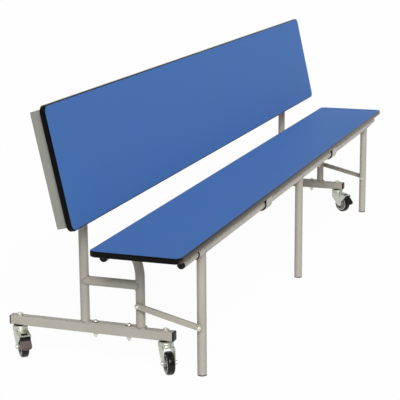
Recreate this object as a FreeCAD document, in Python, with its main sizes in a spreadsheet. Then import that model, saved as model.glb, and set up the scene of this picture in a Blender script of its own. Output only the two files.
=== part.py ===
import FreeCAD, Part
import os
import re
import Sketcher
from FreeCAD import Placement, Rotation, Vector

# Mobile folding bench whose back board tilts over to become a table top.
# Millimetres.  +X runs along the bench, -Y is the sitter's side, +Z is up.
# The origin is on the floor, under the middle of the whole bench.

# ---------------------------------------------------------------- driving dimensions

SIZES = {
    # boards
    "bench_length": "2760",
    "seat_depth": "293",
    "seat_top": "444",
    "seat_front": "342.5",
    "board_thick": "18",
    "board_corner": "25",
    "edging_width": "4",
    "edging_round": "3.5",
    # seat rails, cross bars and clips
    "rail_end_inset": "75",
    "seat_rail_od": "25.4",
    "seat_rail_wall": "2",
    "rail_drop": "8.3",
    "front_rail_inset": "26",
    "rear_rail_inset": "19.5",
    "rail_cap_dome": "5",
    "cross_bar_width": "40",
    "cross_bar_wall": "2",
    "end_bar_inset": "135",
    "clip_reach": "475",
    "clip_length": "60",
    "liner_shy": "0.1",
    "strap_thick": "2.5",
    "strap_flange": "22",
    "board_screw_dia": "5",
    "board_screw_head": "10",
    "board_screw_bite": "13",
    # frame tubes
    "frame_inset": "252",
    "tube_od": "30",
    "tube_wall": "2",
    "upright_behind": "78",
    "post_ahead": "113",
    "post_bend_angle": "45",
    "crossbar_od": "30",
    "crossbar_drop": "11.3",
    "tie_tube_od": "25.4",
    "tie_tube_drop": "173",
    "hinge_sleeve_od": "34",
    "hinge_bush_od": "30",
    "hinge_length": "44",
    # base rails
    "base_rail_size": "30",
    "base_rail_wall": "2",
    "base_rail_corner": "3",
    "base_rail_bottom": "102.5",
    "base_rail_ahead": "222.5",
    "base_rail_behind": "337.5",
    "end_cap_flange": "5",
    "end_cap_plug": "16",
    "foot_plate_thick": "5",
    "foot_plate_width": "28",
    "foot_plate_overhang": "18",
    "frame_bolt_dia": "8",
    "front_bolt_inset": "41",
    "rear_bolt_inset": "35.5",
    "frame_bolt_tip": "17",
    # legs
    "torsion_od": "32",
    "torsion_wall": "2",
    "torsion_overhang": "57",
    "bush_flange": "2.5",
    "bush_plug": "20",
    "foot_rim": "4",
    "foot_plug": "22",
    # braces
    "brace_width": "18",
    "brace_depth": "11",
    "brace_wall": "2.5",
    "brace_gap": "4",
    "brace_post_height": "211.2",
    "brace_leg_height": "161.9",
    "brace_bolt_dia": "8",
    # back
    "back_height": "383",
    "back_lean": "12.5",
    "back_channel_inset": "14",
    "back_channel_width": "25",
    "back_channel_depth": "38",
    "back_channel_wall": "2",
    "pivot_height": "703",
    "pivot_depth": "37",
    "pivot_up": "220.4",
    "pivot_bolt_dia": "10",
    "cheek_thick": "3",
    "cheek_gap": "0.5",
    "upright_above_pivot": "8",
    "plug_flange": "2",
    "bumper_dia": "16",
    # casters
    "caster_inset": "26",
    "caster_trail": "35",
    "stem_dia": "12",
    "race_dia": "44",
    "race_thick": "5",
    "cup_dia": "50",
    "cup_height": "12",
    "crown_thick": "3.5",
    "fork_gap": "35",
    "fork_wall": "2.5",
    "fork_lead": "15",
    "fork_shoulder_drop": "19",
    "hood_reach": "66",
    "hood_lip_height": "80",
    "hood_rise": "6.5",
    "hood_thick": "2",
    "hood_wing": "9",
    "hood_window_width": "21",
    "hood_window_length": "17",
    "hood_lip": "5",
    "cup_groove": "1.5",
    "fork_tip_radius": "9",
    "wheel_dia": "75",
    "tyre_width": "25",
    "tyre_round": "5",
    "rim_dia": "56",
    "hub_dia": "20",
    "hub_clearance": "0.4",
    "axle_dia": "8",
    "brake_pad_width": "36",
    # small fittings
    "rail_cap_plug": "12",
    "cross_bar_saddle": "2",
    "cross_bar_overhang": "12",
    "clip_bar_inset": "48.5",
    "bar_screw_inset": "40",
    "strap_screw_inset": "9",
    "board_screw_rise": "2.4",
    "washer_thick": "1.5",
    "frame_washer_dia": "21",
    "frame_head_dia": "18",
    "frame_head_rise": "6.5",
    "frame_nut_corners": "16",
    "frame_nut_thick": "9.5",
    "brace_washer_dia": "17",
    "brace_head_dia": "15.5",
    "brace_head_rise": "6.5",
    "brace_nut_corners": "15",
    "brace_nut_thick": "6.5",
    "brace_stud_tip": "2",
    "brace_collar_dia": "12",
    "brace_collar_run": "4",
    "plug_reach": "2.5",
    "back_channel_bend": "3",
    "back_screw_inset": "180",
    "pivot_head_dia": "20",
    "pivot_nut_corners": "18.5",
    "pivot_nut_thick": "8",
    "stem_nut_corners": "21.9",
    "stem_nut_thick": "6.5",
    "stem_tip": "2",
    "stem_foot_dia": "20",
    "stem_foot_thick": "3",
    "rim_thick": "5",
    "web_thick": "8",
    "brake_pin_behind": "33",
    "brake_pin_height": "79.5",
    "brake_pin_dia": "5",
    # fits
    "running_fit": "0.06",
    "close_gap": "0.3",
    "hole_gap": "0.2",
}

# Places and sizes that follow from the driving dimensions.
DERIVED = {
    "seat_board_bottom": "seat_top - board_thick",
    "seat_middle": "seat_depth / 2 - seat_front",
    "rail_height": "seat_board_bottom - rail_drop - seat_rail_od / 2",
    "front_rail_ahead": "seat_front - front_rail_inset",
    "rear_rail_ahead": "seat_front - seat_depth + rear_rail_inset",
    "bed_corner": "board_corner - edging_width",
    "seat_rail_length": "bench_length - 2 * rail_end_inset",
    "end_bar_reach": "bench_length / 2 - end_bar_inset",
    "frame_reach": "bench_length / 2 - frame_inset",
    "clip_bar_ahead": "front_rail_ahead - clip_bar_inset",
    "liner_radius": "seat_board_bottom - rail_height - liner_shy",
    "torsion_reach": "frame_reach + torsion_overhang",
    "brace_back": "brace_face + brace_depth",
    "base_rail_top": "base_rail_bottom + base_rail_size",
    "base_rail_length": "base_rail_ahead + base_rail_behind",
    "plate_top": "base_rail_top + foot_plate_thick",
    "post_shift": "post_ahead - rear_rail_ahead",
    "post_radius": "post_shift / (1 - cos(post_bend_angle))",
    "post_bend_start": "rail_height - post_radius * sin(post_bend_angle)",
    "crossbar_height": "post_bend_start - crossbar_od / 2 - crossbar_drop",
    "brace_length": "hypot(front_rail_ahead - post_ahead; brace_post_height - brace_leg_height)",
    "brace_slope": "atan2(brace_post_height - brace_leg_height; front_rail_ahead - post_ahead)",
    "brace_face": "frame_reach + tube_od / 2 + brace_gap",
    "back_foot_ahead": "pivot_depth * cos(back_lean) + pivot_up * sin(back_lean) - upright_behind",
    "back_foot_height": "pivot_height + pivot_depth * sin(back_lean) - pivot_up * cos(back_lean)",
    "channel_back": "board_thick + back_channel_depth",
    "bumper_up": "back_channel_inset + back_channel_width / 2",
    "bumper_reach": "upright_behind - tube_od / 2 - close_gap + back_foot_ahead",
    "bumper_tip": "(bumper_reach - (bumper_up + bumper_dia / 2) * sin(back_lean)) / cos(back_lean)",
    "bumper_thick": "bumper_tip - channel_back",
    "tie_tube_height": "pivot_height - tie_tube_drop",
    "back_screw_pitch": "(bench_length / 2 - back_screw_inset) / 2",
    "cheek_inner": "tube_od / 2 + cheek_gap",
    "upright_top": "pivot_height + upright_above_pivot",
    "caster_front": "caster_inset - base_rail_ahead",
    "caster_rear": "base_rail_behind - caster_inset",
    "cup_top": "base_rail_bottom - race_thick - close_gap",
    "crown_top": "cup_top - cup_height",
    "crown_bottom": "crown_top - crown_thick",
    "cup_waist": "(crown_bottom + cup_top) / 2",
    "hood_root": "3 - cup_dia / 2",
    "hood_root_height": "hood_lip_height + hood_rise",
    "axle_height": "wheel_dia / 2",
    "fork_width": "fork_gap + 2 * fork_wall",
    "hub_length": "fork_gap - 2 * hub_clearance",
}

doc = FreeCAD.newDocument("convertible_bench")
sheet = doc.addObject("Spreadsheet::Sheet", "Sizes")
for row, (alias, number) in enumerate(SIZES.items(), 1):
    sheet.set("A%d" % row, alias)
    sheet.set("B%d" % row, number)
    sheet.setAlias("B%d" % row, alias)
doc.recompute()

parts = []


def formula(text):
    """An expression on the sheet, from words that name sizes."""
    def word(match):
        name = match.group()
        if name in SIZES:
            return "Sizes." + name
        if name in DERIVED:
            return "(" + formula(DERIVED[name]) + ")"
        return name
    return re.sub(r"[a-z_]+", word, str(text))


def value(text):
    """The number that an expression stands for now."""
    result = sheet.evalExpression(formula(text))
    return float(getattr(result, "Value", result))


def bind(thing, prop, text):
    thing.setExpression(prop, formula(text))


def place(thing, at=("0", "0", "0"), axis=None, angle="0"):
    """Put an object at a bound place, turned about an axis by a bound angle."""
    thing.Placement = Placement(Vector(), Rotation(axis or Vector(0, 0, 1), value(angle)))
    for letter, text in zip("xyz", at):
        bind(thing, "Placement.Base." + letter, text)
    if angle != "0":
        bind(thing, "Placement.Rotation.Angle", angle)
    return thing


def sub_part(label, thing):
    thing.Label = label
    parts.append(thing)
    return thing


# ---------------------------------------------------------------- primitives

TURN = {
    "z": (None, "0"),
    "-z": (Vector(1, 0, 0), "180"),
    "y": (Vector(1, 0, 0), "-90"),
    "x": (Vector(0, 1, 0), "90"),
    "-x": (Vector(0, 1, 0), "-90"),
}


def cylinder(name, radius, length, at, along="z"):
    """A round bar that starts at a point and runs up one axis."""
    bar = doc.addObject("Part::Cylinder", name)
    bind(bar, "Radius", radius)
    bind(bar, "Height", length)
    return place(bar, at, *TURN[along])


def hexagon(name, across_corners, length, at, along="z"):
    """A hexagonal head or nut."""
    bar = doc.addObject("Part::Prism", name)
    bar.Polygon = 6
    bind(bar, "Circumradius", "(%s) / 2" % across_corners)
    bind(bar, "Height", length)
    return place(bar, at, *TURN[along])


def dome(name, radius, height, at, along="z"):
    """A domed head; its flat underside is centred on a point."""
    ball = "((%s) * (%s) + (%s) * (%s)) / (2 * (%s))" % (radius, radius, height, height, height)
    cap = doc.addObject("Part::Sphere", name)
    bind(cap, "Radius", ball)
    bind(cap, "Angle1", "asin(1 - (%s) / (%s))" % (height, ball))
    letter, sign = along[-1], "+" if along[0] == "-" else "-"
    centre = ["(%s) %s (%s - (%s))" % (text, sign, ball, height) if axis == letter else text
              for axis, text in zip("xyz", at)]
    return place(cap, centre, *TURN[along])


def across(name, radius, side, near, far, y, z):
    """A round bar along X between two distances from the middle, on one side."""
    start = near if side > 0 else "-(%s)" % far
    return cylinder(name, radius, "(%s) - (%s)" % (far, near), (start, y, z), "x")


def block(name, size, at):
    """A square block centred on a point in X and Y, standing on it in Z."""
    solid = doc.addObject("Part::Box", name)
    for prop, text in zip(("Length", "Width", "Height"), size):
        bind(solid, prop, text)
    corner = ("(%s) - (%s) / 2" % (at[0], size[0]), "(%s) - (%s) / 2" % (at[1], size[1]), at[2])
    return place(solid, corner)


def cut(name, base, *tools):
    """The base less its tools."""
    tool = tools[0]
    if len(tools) > 1:
        tool = doc.addObject("Part::MultiFuse", name + "_tools")
        tool.Shapes = list(tools)
    result = doc.addObject("Part::Cut", name)
    result.Base = base
    result.Tool = tool
    return result


def fuse(name, *shapes):
    result = doc.addObject("Part::MultiFuse", name)
    result.Shapes = list(shapes)
    result.Refine = True
    return result


def group(name, things):
    """Like pieces kept as separate solids of one sub-part."""
    result = doc.addObject("Part::Compound", name)
    result.Links = list(things)
    return result


def tube(name, outer, wall, length, at, along, *holes):
    """A round tube with its cross holes and end cuts."""
    body = cylinder(name + "_outside", "(%s) / 2" % outer, length, at, along)
    bore = cylinder(name + "_bore", "(%s) / 2 - (%s)" % (outer, wall), length, at, along)
    return cut(name, body, bore, *holes)


# ---------------------------------------------------------------- sketches and bodies

AXIS_PLANES = {"xy": "XY_Plane", "xz": "XZ_Plane", "yz": "YZ_Plane"}


def new_body(name):
    return doc.addObject("PartDesign::Body", name)


def new_sketch(body, plane, name, offset="0"):
    """A sketch on one of the body's own planes, moved along its normal by a bound offset."""
    sketch = body.newObject("Sketcher::SketchObject", body.Name + "_" + name)
    support = [item for item in body.Origin.OriginFeatures if item.Role == AXIS_PLANES[plane]][0]
    sketch.AttachmentSupport = [(support, "")]
    sketch.MapMode = "FlatFace"
    if offset != "0":
        bind(sketch, "AttachmentOffset.Base.z", offset)
    return sketch


def hold(sketch, geometry, point, x, y):
    """Tie one point of a sketch to bound coordinates."""
    for kind, text, axis in (("DistanceX", x, -2), ("DistanceY", y, -1)):
        if value(text) == 0:
            sketch.addConstraint(Sketcher.Constraint("PointOnObject", geometry, point, axis))
            continue
        number = sketch.addConstraint(Sketcher.Constraint(kind, -1, 1, geometry, point, value(text)))
        bind(sketch, "Constraints[%d]" % number, text)


def outline(sketch, corners):
    """A closed outline of straight runs through bound corners."""
    points = [Vector(value(x), value(y), 0) for x, y in corners]
    first = sketch.GeometryCount
    for here, there in zip(points, points[1:] + points[:1]):
        sketch.addGeometry(Part.LineSegment(here, there), False)
    for i in range(len(points)):
        following = first + (i + 1) % len(points)
        sketch.addConstraint(Sketcher.Constraint("Coincident", first + i, 2, following, 1))
    for i, (x, y) in enumerate(corners):
        hold(sketch, first + i, 1, x, y)


def rectangle(sketch, width, height, x="0", y="0"):
    """A rectangle centred on a bound point."""
    left, right = "%s - (%s) / 2" % (x, width), "%s + (%s) / 2" % (x, width)
    low, high = "%s - (%s) / 2" % (y, height), "%s + (%s) / 2" % (y, height)
    outline(sketch, [(left, low), (right, low), (right, high), (left, high)])


def rounded(sketch, width, height, radius):
    """A rectangle with round corners, centred on the origin."""
    w, h, r = value(width) / 2, value(height) / 2, value(radius)
    quarter = 1.5707963267948966
    corners = ((1, 1, 0), (-1, 1, 1), (-1, -1, 2), (1, -1, 3))
    arcs = []
    for sx, sy, turn in corners:
        centre = Part.Circle(Vector(sx * (w - r), sy * (h - r), 0), Vector(0, 0, 1), r)
        arcs.append(sketch.addGeometry(Part.ArcOfCircle(centre, turn * quarter, (turn + 1) * quarter), False))
    for i, arc in enumerate(arcs):
        following = arcs[(i + 1) % 4]
        ends = sketch.Geometry[arc].EndPoint, sketch.Geometry[following].StartPoint
        side = sketch.addGeometry(Part.LineSegment(*ends), False)
        sketch.addConstraint(Sketcher.Constraint("Tangent", arc, 2, side, 1))
        sketch.addConstraint(Sketcher.Constraint("Tangent", side, 2, following, 1))
    for arc, (sx, sy, turn) in zip(arcs, corners):
        number = sketch.addConstraint(Sketcher.Constraint("Radius", arc, r))
        bind(sketch, "Constraints[%d]" % number, radius)
        hold(sketch, arc, 3, "%d * ((%s) / 2 - (%s))" % (sx, width, radius),
             "%d * ((%s) / 2 - (%s))" % (sy, height, radius))


def circle(sketch, radius, x="0", y="0"):
    ring = Part.Circle(Vector(value(x), value(y), 0), Vector(0, 0, 1), value(radius))
    number = sketch.addGeometry(ring, False)
    size = sketch.addConstraint(Sketcher.Constraint("Radius", number, value(radius)))
    bind(sketch, "Constraints[%d]" % size, radius)
    hold(sketch, number, 3, x, y)


def slot(sketch, radius, length):
    """A round-ended slot from the origin towards -X of the sketch."""
    r, run = value(radius), value(length)
    up = Vector(0, 0, 1)
    top = sketch.addGeometry(Part.LineSegment(Vector(0, r, 0), Vector(-run, r, 0)), False)
    far = sketch.addGeometry(Part.ArcOfCircle(Part.Circle(Vector(-run, 0, 0), up, r), 1.570796, 4.712389), False)
    low = sketch.addGeometry(Part.LineSegment(Vector(-run, -r, 0), Vector(0, -r, 0)), False)
    near = sketch.addGeometry(Part.ArcOfCircle(Part.Circle(Vector(0, 0, 0), up, r), -1.570796, 1.570796), False)
    for one, two in ((top, far), (far, low), (low, near), (near, top)):
        sketch.addConstraint(Sketcher.Constraint("Tangent", one, 2, two, 1))
    size = sketch.addConstraint(Sketcher.Constraint("Radius", near, r))
    bind(sketch, "Constraints[%d]" % size, radius)
    hold(sketch, near, 3, "0", "0")
    hold(sketch, far, 3, "-(%s)" % length, "0")


def feature(body, kind, name, sketch):
    result = body.newObject("PartDesign::" + kind, body.Name + "_" + name)
    result.Profile = sketch
    return result


def pad(body, name, sketch, length, reverse=False, symmetric=False):
    result = feature(body, "Pad", name, sketch)
    bind(result, "Length", length)
    result.Reversed = reverse
    if symmetric:
        result.SideType = "Symmetric"
    doc.recompute()
    return result


def pocket(body, name, sketch, length, reverse=False, symmetric=False):
    """A pocket that must take material away."""
    before = body.Shape.Volume
    result = feature(body, "Pocket", name, sketch)
    bind(result, "Length", length)
    result.Reversed = reverse
    if symmetric:
        result.SideType = "Symmetric"
    doc.recompute()
    if not body.Shape.Volume < before:
        raise ValueError(result.Name + " cuts nothing")
    return result


def revolve(body, name, sketch, axis="H_Axis"):
    """A full turn of a profile about one of its sketch's own axes."""
    result = feature(body, "Revolution", name, sketch)
    result.ReferenceAxis = (sketch, [axis])
    result.Angle = 360
    doc.recompute()
    return result


def round_edges(body, name, base, chosen, radius):
    """Round the edges of a feature that a test picks out."""
    names = ["Edge%d" % (i + 1) for i, edge in enumerate(base.Shape.Edges) if chosen(edge)]
    result = body.newObject("PartDesign::Fillet", body.Name + "_" + name)
    result.Base = (base, names)
    bind(result, "Radius", radius)
    doc.recompute()
    return result


def runs_along(letter):
    """True for straight edges along one axis."""
    def test(edge):
        if edge.Curve.TypeId != "Part::GeomLine":
            return False
        return abs(abs(getattr(edge.Curve.Direction, letter)) - 1) < 1e-6
    return test


def lies_at(letter, *texts):
    """True for edges wholly at one of some bound heights along an axis."""
    def test(edge):
        box = edge.BoundBox
        low, high = getattr(box, letter.upper() + "Min"), getattr(box, letter.upper() + "Max")
        return any(abs(low - value(text)) < 1e-4 and abs(high - value(text)) < 1e-4 for text in texts)
    return test


def round_at(letter, *texts):
    """True for circular edges at one of some bound heights along an axis."""
    flat = lies_at(letter, *texts)

    def test(edge):
        return edge.Curve.TypeId == "Part::GeomCircle" and flat(edge)
    return test


# ---------------------------------------------------------------- boards

X_AXIS = Vector(1, 0, 0)
Z_AXIS = Vector(0, 0, 1)
SIDES = ((-1, "left"), (1, "right"))


def board(label, width, at, angle):
    """Laminated board without its edging; its own XY plane is its back or lower face."""
    body = new_body(label)
    plan = new_sketch(body, "xy", "plan")
    rounded(plan, "bench_length - 2 * edging_width", width + " - 2 * edging_width", "bed_corner")
    pad(body, "slab", plan, "board_thick")
    sub_part(label, place(body, at, X_AXIS, angle))


def edging(label, width, at, angle):
    """Moulded bullnose strip that runs round a board."""
    body = new_body(label)
    plan = new_sketch(body, "xy", "plan")
    rounded(plan, "bench_length", width, "board_corner")
    slab = pad(body, "slab", plan, "board_thick")
    round_edges(body, "nose", slab, lies_at("z", "0", "board_thick"), "edging_round")
    bed = new_sketch(body, "xy", "bed")
    rounded(bed, "bench_length - 2 * edging_width", width + " - 2 * edging_width", "bed_corner")
    pocket(body, "opening", bed, "board_thick", reverse=True)
    sub_part(label, place(body, at, X_AXIS, angle))


# ---------------------------------------------------------------- seat

def seat():
    middle = ("0", "seat_middle", "seat_board_bottom")
    board("seat_board", "seat_depth", middle, "0")
    edging("seat_edging", "seat_depth", middle, "0")
    for name, ahead in RAILS:
        at = ("-seat_rail_length / 2", "-(%s)" % ahead, "rail_height")
        label = "seat_%s_rail" % name
        sub_part(label, tube(label, "seat_rail_od", "seat_rail_wall", "seat_rail_length", at, "x"))
    seat_rail_caps()
    seat_cross_bars()
    seat_clips()
    seat_screws()


RAILS = (("front", "front_rail_ahead"), ("rear", "rear_rail_ahead"))


def seat_rail_caps():
    """Domed plugs in the four rail ends."""
    rim, plug = "seat_rail_od / 2", "seat_rail_od / 2 - seat_rail_wall"
    caps = []
    for side, hand in SIDES:
        for name, ahead in RAILS:
            body = new_body("rail_cap_%s_%s" % (name, hand))
            half = new_sketch(body, "xy", "half")
            outline(half, [("-rail_cap_plug", "0"), ("-rail_cap_plug", plug), ("0", plug), ("0", rim),
                           ("rail_cap_dome", rim), ("rail_cap_dome", "0")])
            turned = revolve(body, "turned", half)
            round_edges(body, "crown", turned, round_at("x", "rail_cap_dome"), "rail_cap_dome * 0.8")
            at = ("%d * seat_rail_length / 2" % side, "-(%s)" % ahead, "rail_height")
            caps.append(place(body, at, Z_AXIS, "90 - %d * 90" % side))
    sub_part("seat_rail_caps", group("seat_rail_caps", caps))


def rail_solid(name, ahead, od):
    """A plain bar in the place of a seat rail or the tube round it."""
    at = ("-seat_rail_length / 2", "-(%s)" % ahead, "rail_height")
    return cylinder(name, "(%s) / 2" % od, "seat_rail_length", at, "x")


def seat_cross_bars():
    """Shallow channels, open below and saddled on the rails."""
    bars = []
    for side, hand in SIDES:
        for name, x, ahead in (("end", "end_bar_reach", "front_rail_ahead + cross_bar_overhang"),
                               ("clip", "clip_reach", "clip_bar_ahead")):
            tag = "cross_bar_%s_%s" % (name, hand)
            run = "%s - rear_rail_ahead + cross_bar_overhang" % ahead
            at = ["%d * %s" % (side, x), "cross_bar_overhang - rear_rail_ahead - (%s) / 2" % run,
                  "seat_board_bottom - rail_drop - cross_bar_saddle"]
            outside = block(tag + "_outside", ("cross_bar_width", run, "rail_drop + cross_bar_saddle"), at)
            trough = block(tag + "_trough", ("cross_bar_width - 2 * cross_bar_wall", run,
                                             "rail_drop + cross_bar_saddle - cross_bar_wall"), at)
            tools = [trough]
            for rail, rail_ahead in RAILS:
                tools.append(rail_solid("%s_%s_saddle" % (tag, rail), rail_ahead, "seat_rail_od"))
            for number, (screw_x, screw_y) in enumerate(bar_screws(side, x, ahead)):
                tools.append(cylinder("%s_hole_%d" % (tag, number), "board_screw_dia / 2", "board_thick",
                                      (screw_x, screw_y, "seat_board_bottom - board_thick")))
            bars.append(cut(tag, outside, *tools))
    sub_part("seat_cross_bars", group("seat_cross_bars", bars))


def bar_screws(side, x, ahead):
    """Places of the two screws of one cross bar."""
    spot = "%d * %s" % (side, x)
    return [(spot, "bar_screw_inset - (%s)" % ahead), (spot, "-rear_rail_ahead - bar_screw_inset")]


def seat_clips():
    """Bent straps with plastic liners that hold the leg frame's tube under the seat."""
    straps, liners = [], []
    axis = ("-front_rail_ahead", "rail_height")
    for side, hand in SIDES:
        x = "%d * clip_reach" % side
        start = (x + " - clip_length / 2",) + axis
        tag = "clip_" + hand
        liner_out = cylinder(tag + "_liner_out", "liner_radius", "clip_length", start, "x")
        liner_in = cylinder(tag + "_liner_in", "torsion_od / 2 + running_fit", "clip_length", start, "x")
        liners.append(cut(tag + "_liner", liner_out, liner_in))
        bow = cylinder(tag + "_bow", "liner_radius + strap_thick", "clip_length", start, "x")
        walls = block(tag + "_walls", ("clip_length", "2 * (liner_radius + strap_thick)",
                                       "seat_board_bottom - rail_height"), (x,) + axis)
        flange = block(tag + "_flange", ("clip_length", "strap_flange", "strap_thick"),
                       (x, "liner_radius + strap_flange / 2 - front_rail_ahead", "seat_board_bottom - strap_thick"))
        strap = fuse(tag + "_blank", bow, walls, flange)
        inside = cylinder(tag + "_inside", "liner_radius", "clip_length", start, "x")
        above = block(tag + "_above", ("clip_length", "2 * liner_radius", "board_thick * 2"), (x,) + axis)
        holes = [cylinder("%s_hole_%d" % (tag, number), "board_screw_dia / 2", "board_thick",
                          (spot[0], spot[1], "seat_board_bottom - board_thick / 2"))
                 for number, spot in enumerate(clip_screws(side))]
        straps.append(cut(tag + "_strap", strap, inside, above, *holes))
    sub_part("seat_clips", group("seat_clips", straps))
    sub_part("clip_liners", group("clip_liners", liners))


def clip_screws(side):
    """Places of the two screws of one clip."""
    y = "liner_radius + strap_flange - strap_screw_inset - front_rail_ahead"
    return [("%d * clip_reach + %d * clip_length / 4" % (side, way), y) for way in (-1, 1)]


def seat_screws():
    """Pan screws up into the board through the cross bars and the clips."""
    screws = []
    for side, hand in SIDES:
        spots = [spot + ("cross_bar_wall",) for spot in
                 bar_screws(side, "end_bar_reach", "front_rail_ahead + cross_bar_overhang")]
        spots += [spot + ("cross_bar_wall",) for spot in bar_screws(side, "clip_reach", "clip_bar_ahead")]
        spots += [spot + ("strap_thick",) for spot in clip_screws(side)]
        for number, (x, y, under) in enumerate(spots):
            tag = "seat_screw_%s_%d" % (hand, number)
            seat_at = (x, y, "seat_board_bottom - %s" % under)
            head = dome(tag + "_head", "board_screw_head / 2", "board_screw_rise", seat_at, "-z")
            shank = cylinder(tag + "_shank", "board_screw_dia / 2", "board_screw_bite + " + under, seat_at)
            screws.append(fuse(tag, head, shank))
    sub_part("seat_screws", group("seat_screws", screws))


# ---------------------------------------------------------------- leg frame and braces

def leg_frame():
    at = ("-torsion_reach", "-front_rail_ahead", "rail_height")
    sub_part("torsion_tube", tube("torsion_tube", "torsion_od", "torsion_wall", "2 * torsion_reach", at, "x"))
    bushes, feet, nuts = [], [], []
    for side, hand in SIDES:
        tag = "torsion_bush_" + hand
        spot = (side, "torsion_reach - bush_plug", "torsion_reach", "-front_rail_ahead", "rail_height")
        plug = across(tag + "_plug", "torsion_od / 2 - torsion_wall", *spot)
        rim = across(tag + "_rim", "torsion_od / 2", side, "torsion_reach", "torsion_reach + bush_flange",
                     "-front_rail_ahead", "rail_height")
        bore = rail_solid(tag + "_bore", "front_rail_ahead", "seat_rail_od + 2 * running_fit")
        bushes.append(cut(tag, fuse(tag + "_blank", plug, rim), bore))
        nuts.append(leg_nut(side, hand))
    sub_part("torsion_bushes", group("torsion_bushes", bushes))
    for side, hand in ((-1, "left"), (0, "middle"), (1, "right")):
        x = "%d * frame_reach" % side
        tools = [rail_solid("leg_%s_saddle" % hand, "front_rail_ahead", "torsion_od")]
        if side:
            tools.append(across("leg_%s_hole" % hand, "brace_bolt_dia / 2", side, "frame_reach - tube_od",
                                "frame_reach + tube_od", "-front_rail_ahead", "brace_leg_height"))
        leg = tube("leg_" + hand, "tube_od", "tube_wall", "rail_height - foot_rim",
                   (x, "-front_rail_ahead", "foot_rim"), "z", *tools)
        sub_part("leg_" + hand, leg)
        feet.append(foot(hand, x))
    sub_part("leg_feet", group("leg_feet", feet))
    sub_part("leg_nuts", group("leg_nuts", nuts))


def foot(hand, x):
    """Plastic insert that closes a leg and stands on the floor."""
    body = new_body("foot_" + hand)
    half = new_sketch(body, "xz", "half")
    rim, plug = "tube_od / 2", "tube_od / 2 - tube_wall"
    outline(half, [("0", "0"), (rim, "0"), (rim, "foot_rim"), (plug, "foot_rim"), (plug, "foot_rim + foot_plug"),
                   ("0", "foot_rim + foot_plug")])
    turned = revolve(body, "turned", half, "V_Axis")
    round_edges(body, "heel", turned, round_at("z", "0"), "foot_rim / 3")
    return place(body, (x, "-front_rail_ahead", "0"))


def leg_nut(side, hand):
    """Nut on the inner side of a leg with the pivot stud that runs through it."""
    tag = "leg_nut_" + hand
    low = "frame_reach - tube_od / 2 - brace_nut_thick"
    y, z = "-front_rail_ahead", "brace_leg_height"
    start = low if side > 0 else "-(frame_reach - tube_od / 2)"
    nut = hexagon(tag + "_hex", "brace_nut_corners", "brace_nut_thick", (start, y, z), "x")
    stud = across(tag + "_stud", "brace_bolt_dia / 2", side, low + " - brace_stud_tip",
                  "frame_reach + tube_od / 2", y, z)
    return fuse(tag, nut, stud)


def braces():
    """Channel links between the posts and the legs, open towards the tubes."""
    bolts = []
    for side, hand in SIDES:
        label = "brace_" + hand
        body = new_body(label)
        plan = new_sketch(body, "yz", "plan")
        slot(plan, "brace_width / 2", "brace_length")
        bar = pad(body, "bar", plan, "brace_depth", reverse=side < 0)
        outer = value("%d * brace_depth" % side)

        def rim(edge):
            return abs(edge.BoundBox.XMin - outer) < 1e-4 and abs(edge.BoundBox.XMax - outer) < 1e-4
        round_edges(body, "edge", bar, rim, "brace_wall * 0.6")
        trough = new_sketch(body, "yz", "trough")
        slot(trough, "brace_width / 2 - brace_wall", "brace_length")
        pocket(body, "trough_cut", trough, "brace_depth - brace_wall", reverse=side > 0)
        holes = new_sketch(body, "yz", "holes")
        circle(holes, "brace_bolt_dia / 2 + running_fit")
        circle(holes, "brace_bolt_dia / 2 + running_fit", "-(brace_length)")
        pocket(body, "hole_cut", holes, "brace_depth", reverse=side > 0)
        at = ("%d * brace_face" % side, "-post_ahead", "brace_post_height")
        sub_part(label, place(body, at, X_AXIS, "brace_slope"))
        brace_leg_bolt(side, hand)
        bolts.append(brace_post_bolt(side, hand))
    sub_part("brace_post_bolts", group("brace_post_bolts", bolts))


def bolt_head(tag, side, y, z):
    """Washer and domed head on the outside of a brace."""
    washer = across(tag + "_washer", "brace_washer_dia / 2", side, "brace_back", "brace_back + washer_thick", y, z)
    at = ("%d * (brace_back + washer_thick)" % side, y, z)
    return [washer, dome(tag + "_dome", "brace_head_dia / 2", "brace_head_rise", at, "x" if side > 0 else "-x")]


def brace_leg_bolt(side, hand):
    """Pivot bolt of a brace's lower end, held by its collar."""
    label = "brace_bolt_" + hand
    y, z = "-front_rail_ahead", "brace_leg_height"
    head = bolt_head(label, side, y, z)
    shank = across(label + "_shank", "brace_bolt_dia / 2", side, "frame_reach + tube_od / 2 + close_gap",
                   "brace_back", y, z)
    collar = across(label + "_collar", "brace_collar_dia / 2", side, "brace_back - brace_wall - brace_collar_run",
                    "brace_back - brace_wall", y, z)
    sub_part(label, fuse(label, *head, shank, collar))


def brace_post_bolt(side, hand):
    """Bolt through a post, with a shoulder that spaces the brace from it."""
    tag = "brace_post_bolt_" + hand
    y, z = "-post_ahead", "brace_post_height"
    head = bolt_head(tag, side, y, z)
    low = "frame_reach - tube_od / 2 - brace_nut_thick"
    start = low if side > 0 else "-(frame_reach - tube_od / 2)"
    nut = hexagon(tag + "_hex", "brace_nut_corners", "brace_nut_thick", (start, y, z), "x")
    shank = across(tag + "_shank", "brace_bolt_dia / 2", side, low + " - brace_stud_tip", "brace_back", y, z)
    shoulder = across(tag + "_shoulder", "brace_collar_dia / 2", side, "frame_reach",
                      "brace_back - brace_wall - hole_gap", y, z)
    post = cylinder(tag + "_post", "tube_od / 2", "post_ahead", ("%d * frame_reach" % side, y, "plate_top"))
    return fuse(tag, *head, nut, shank, cut(tag + "_collar", shoulder, post))


# ---------------------------------------------------------------- fixed frame

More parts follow.
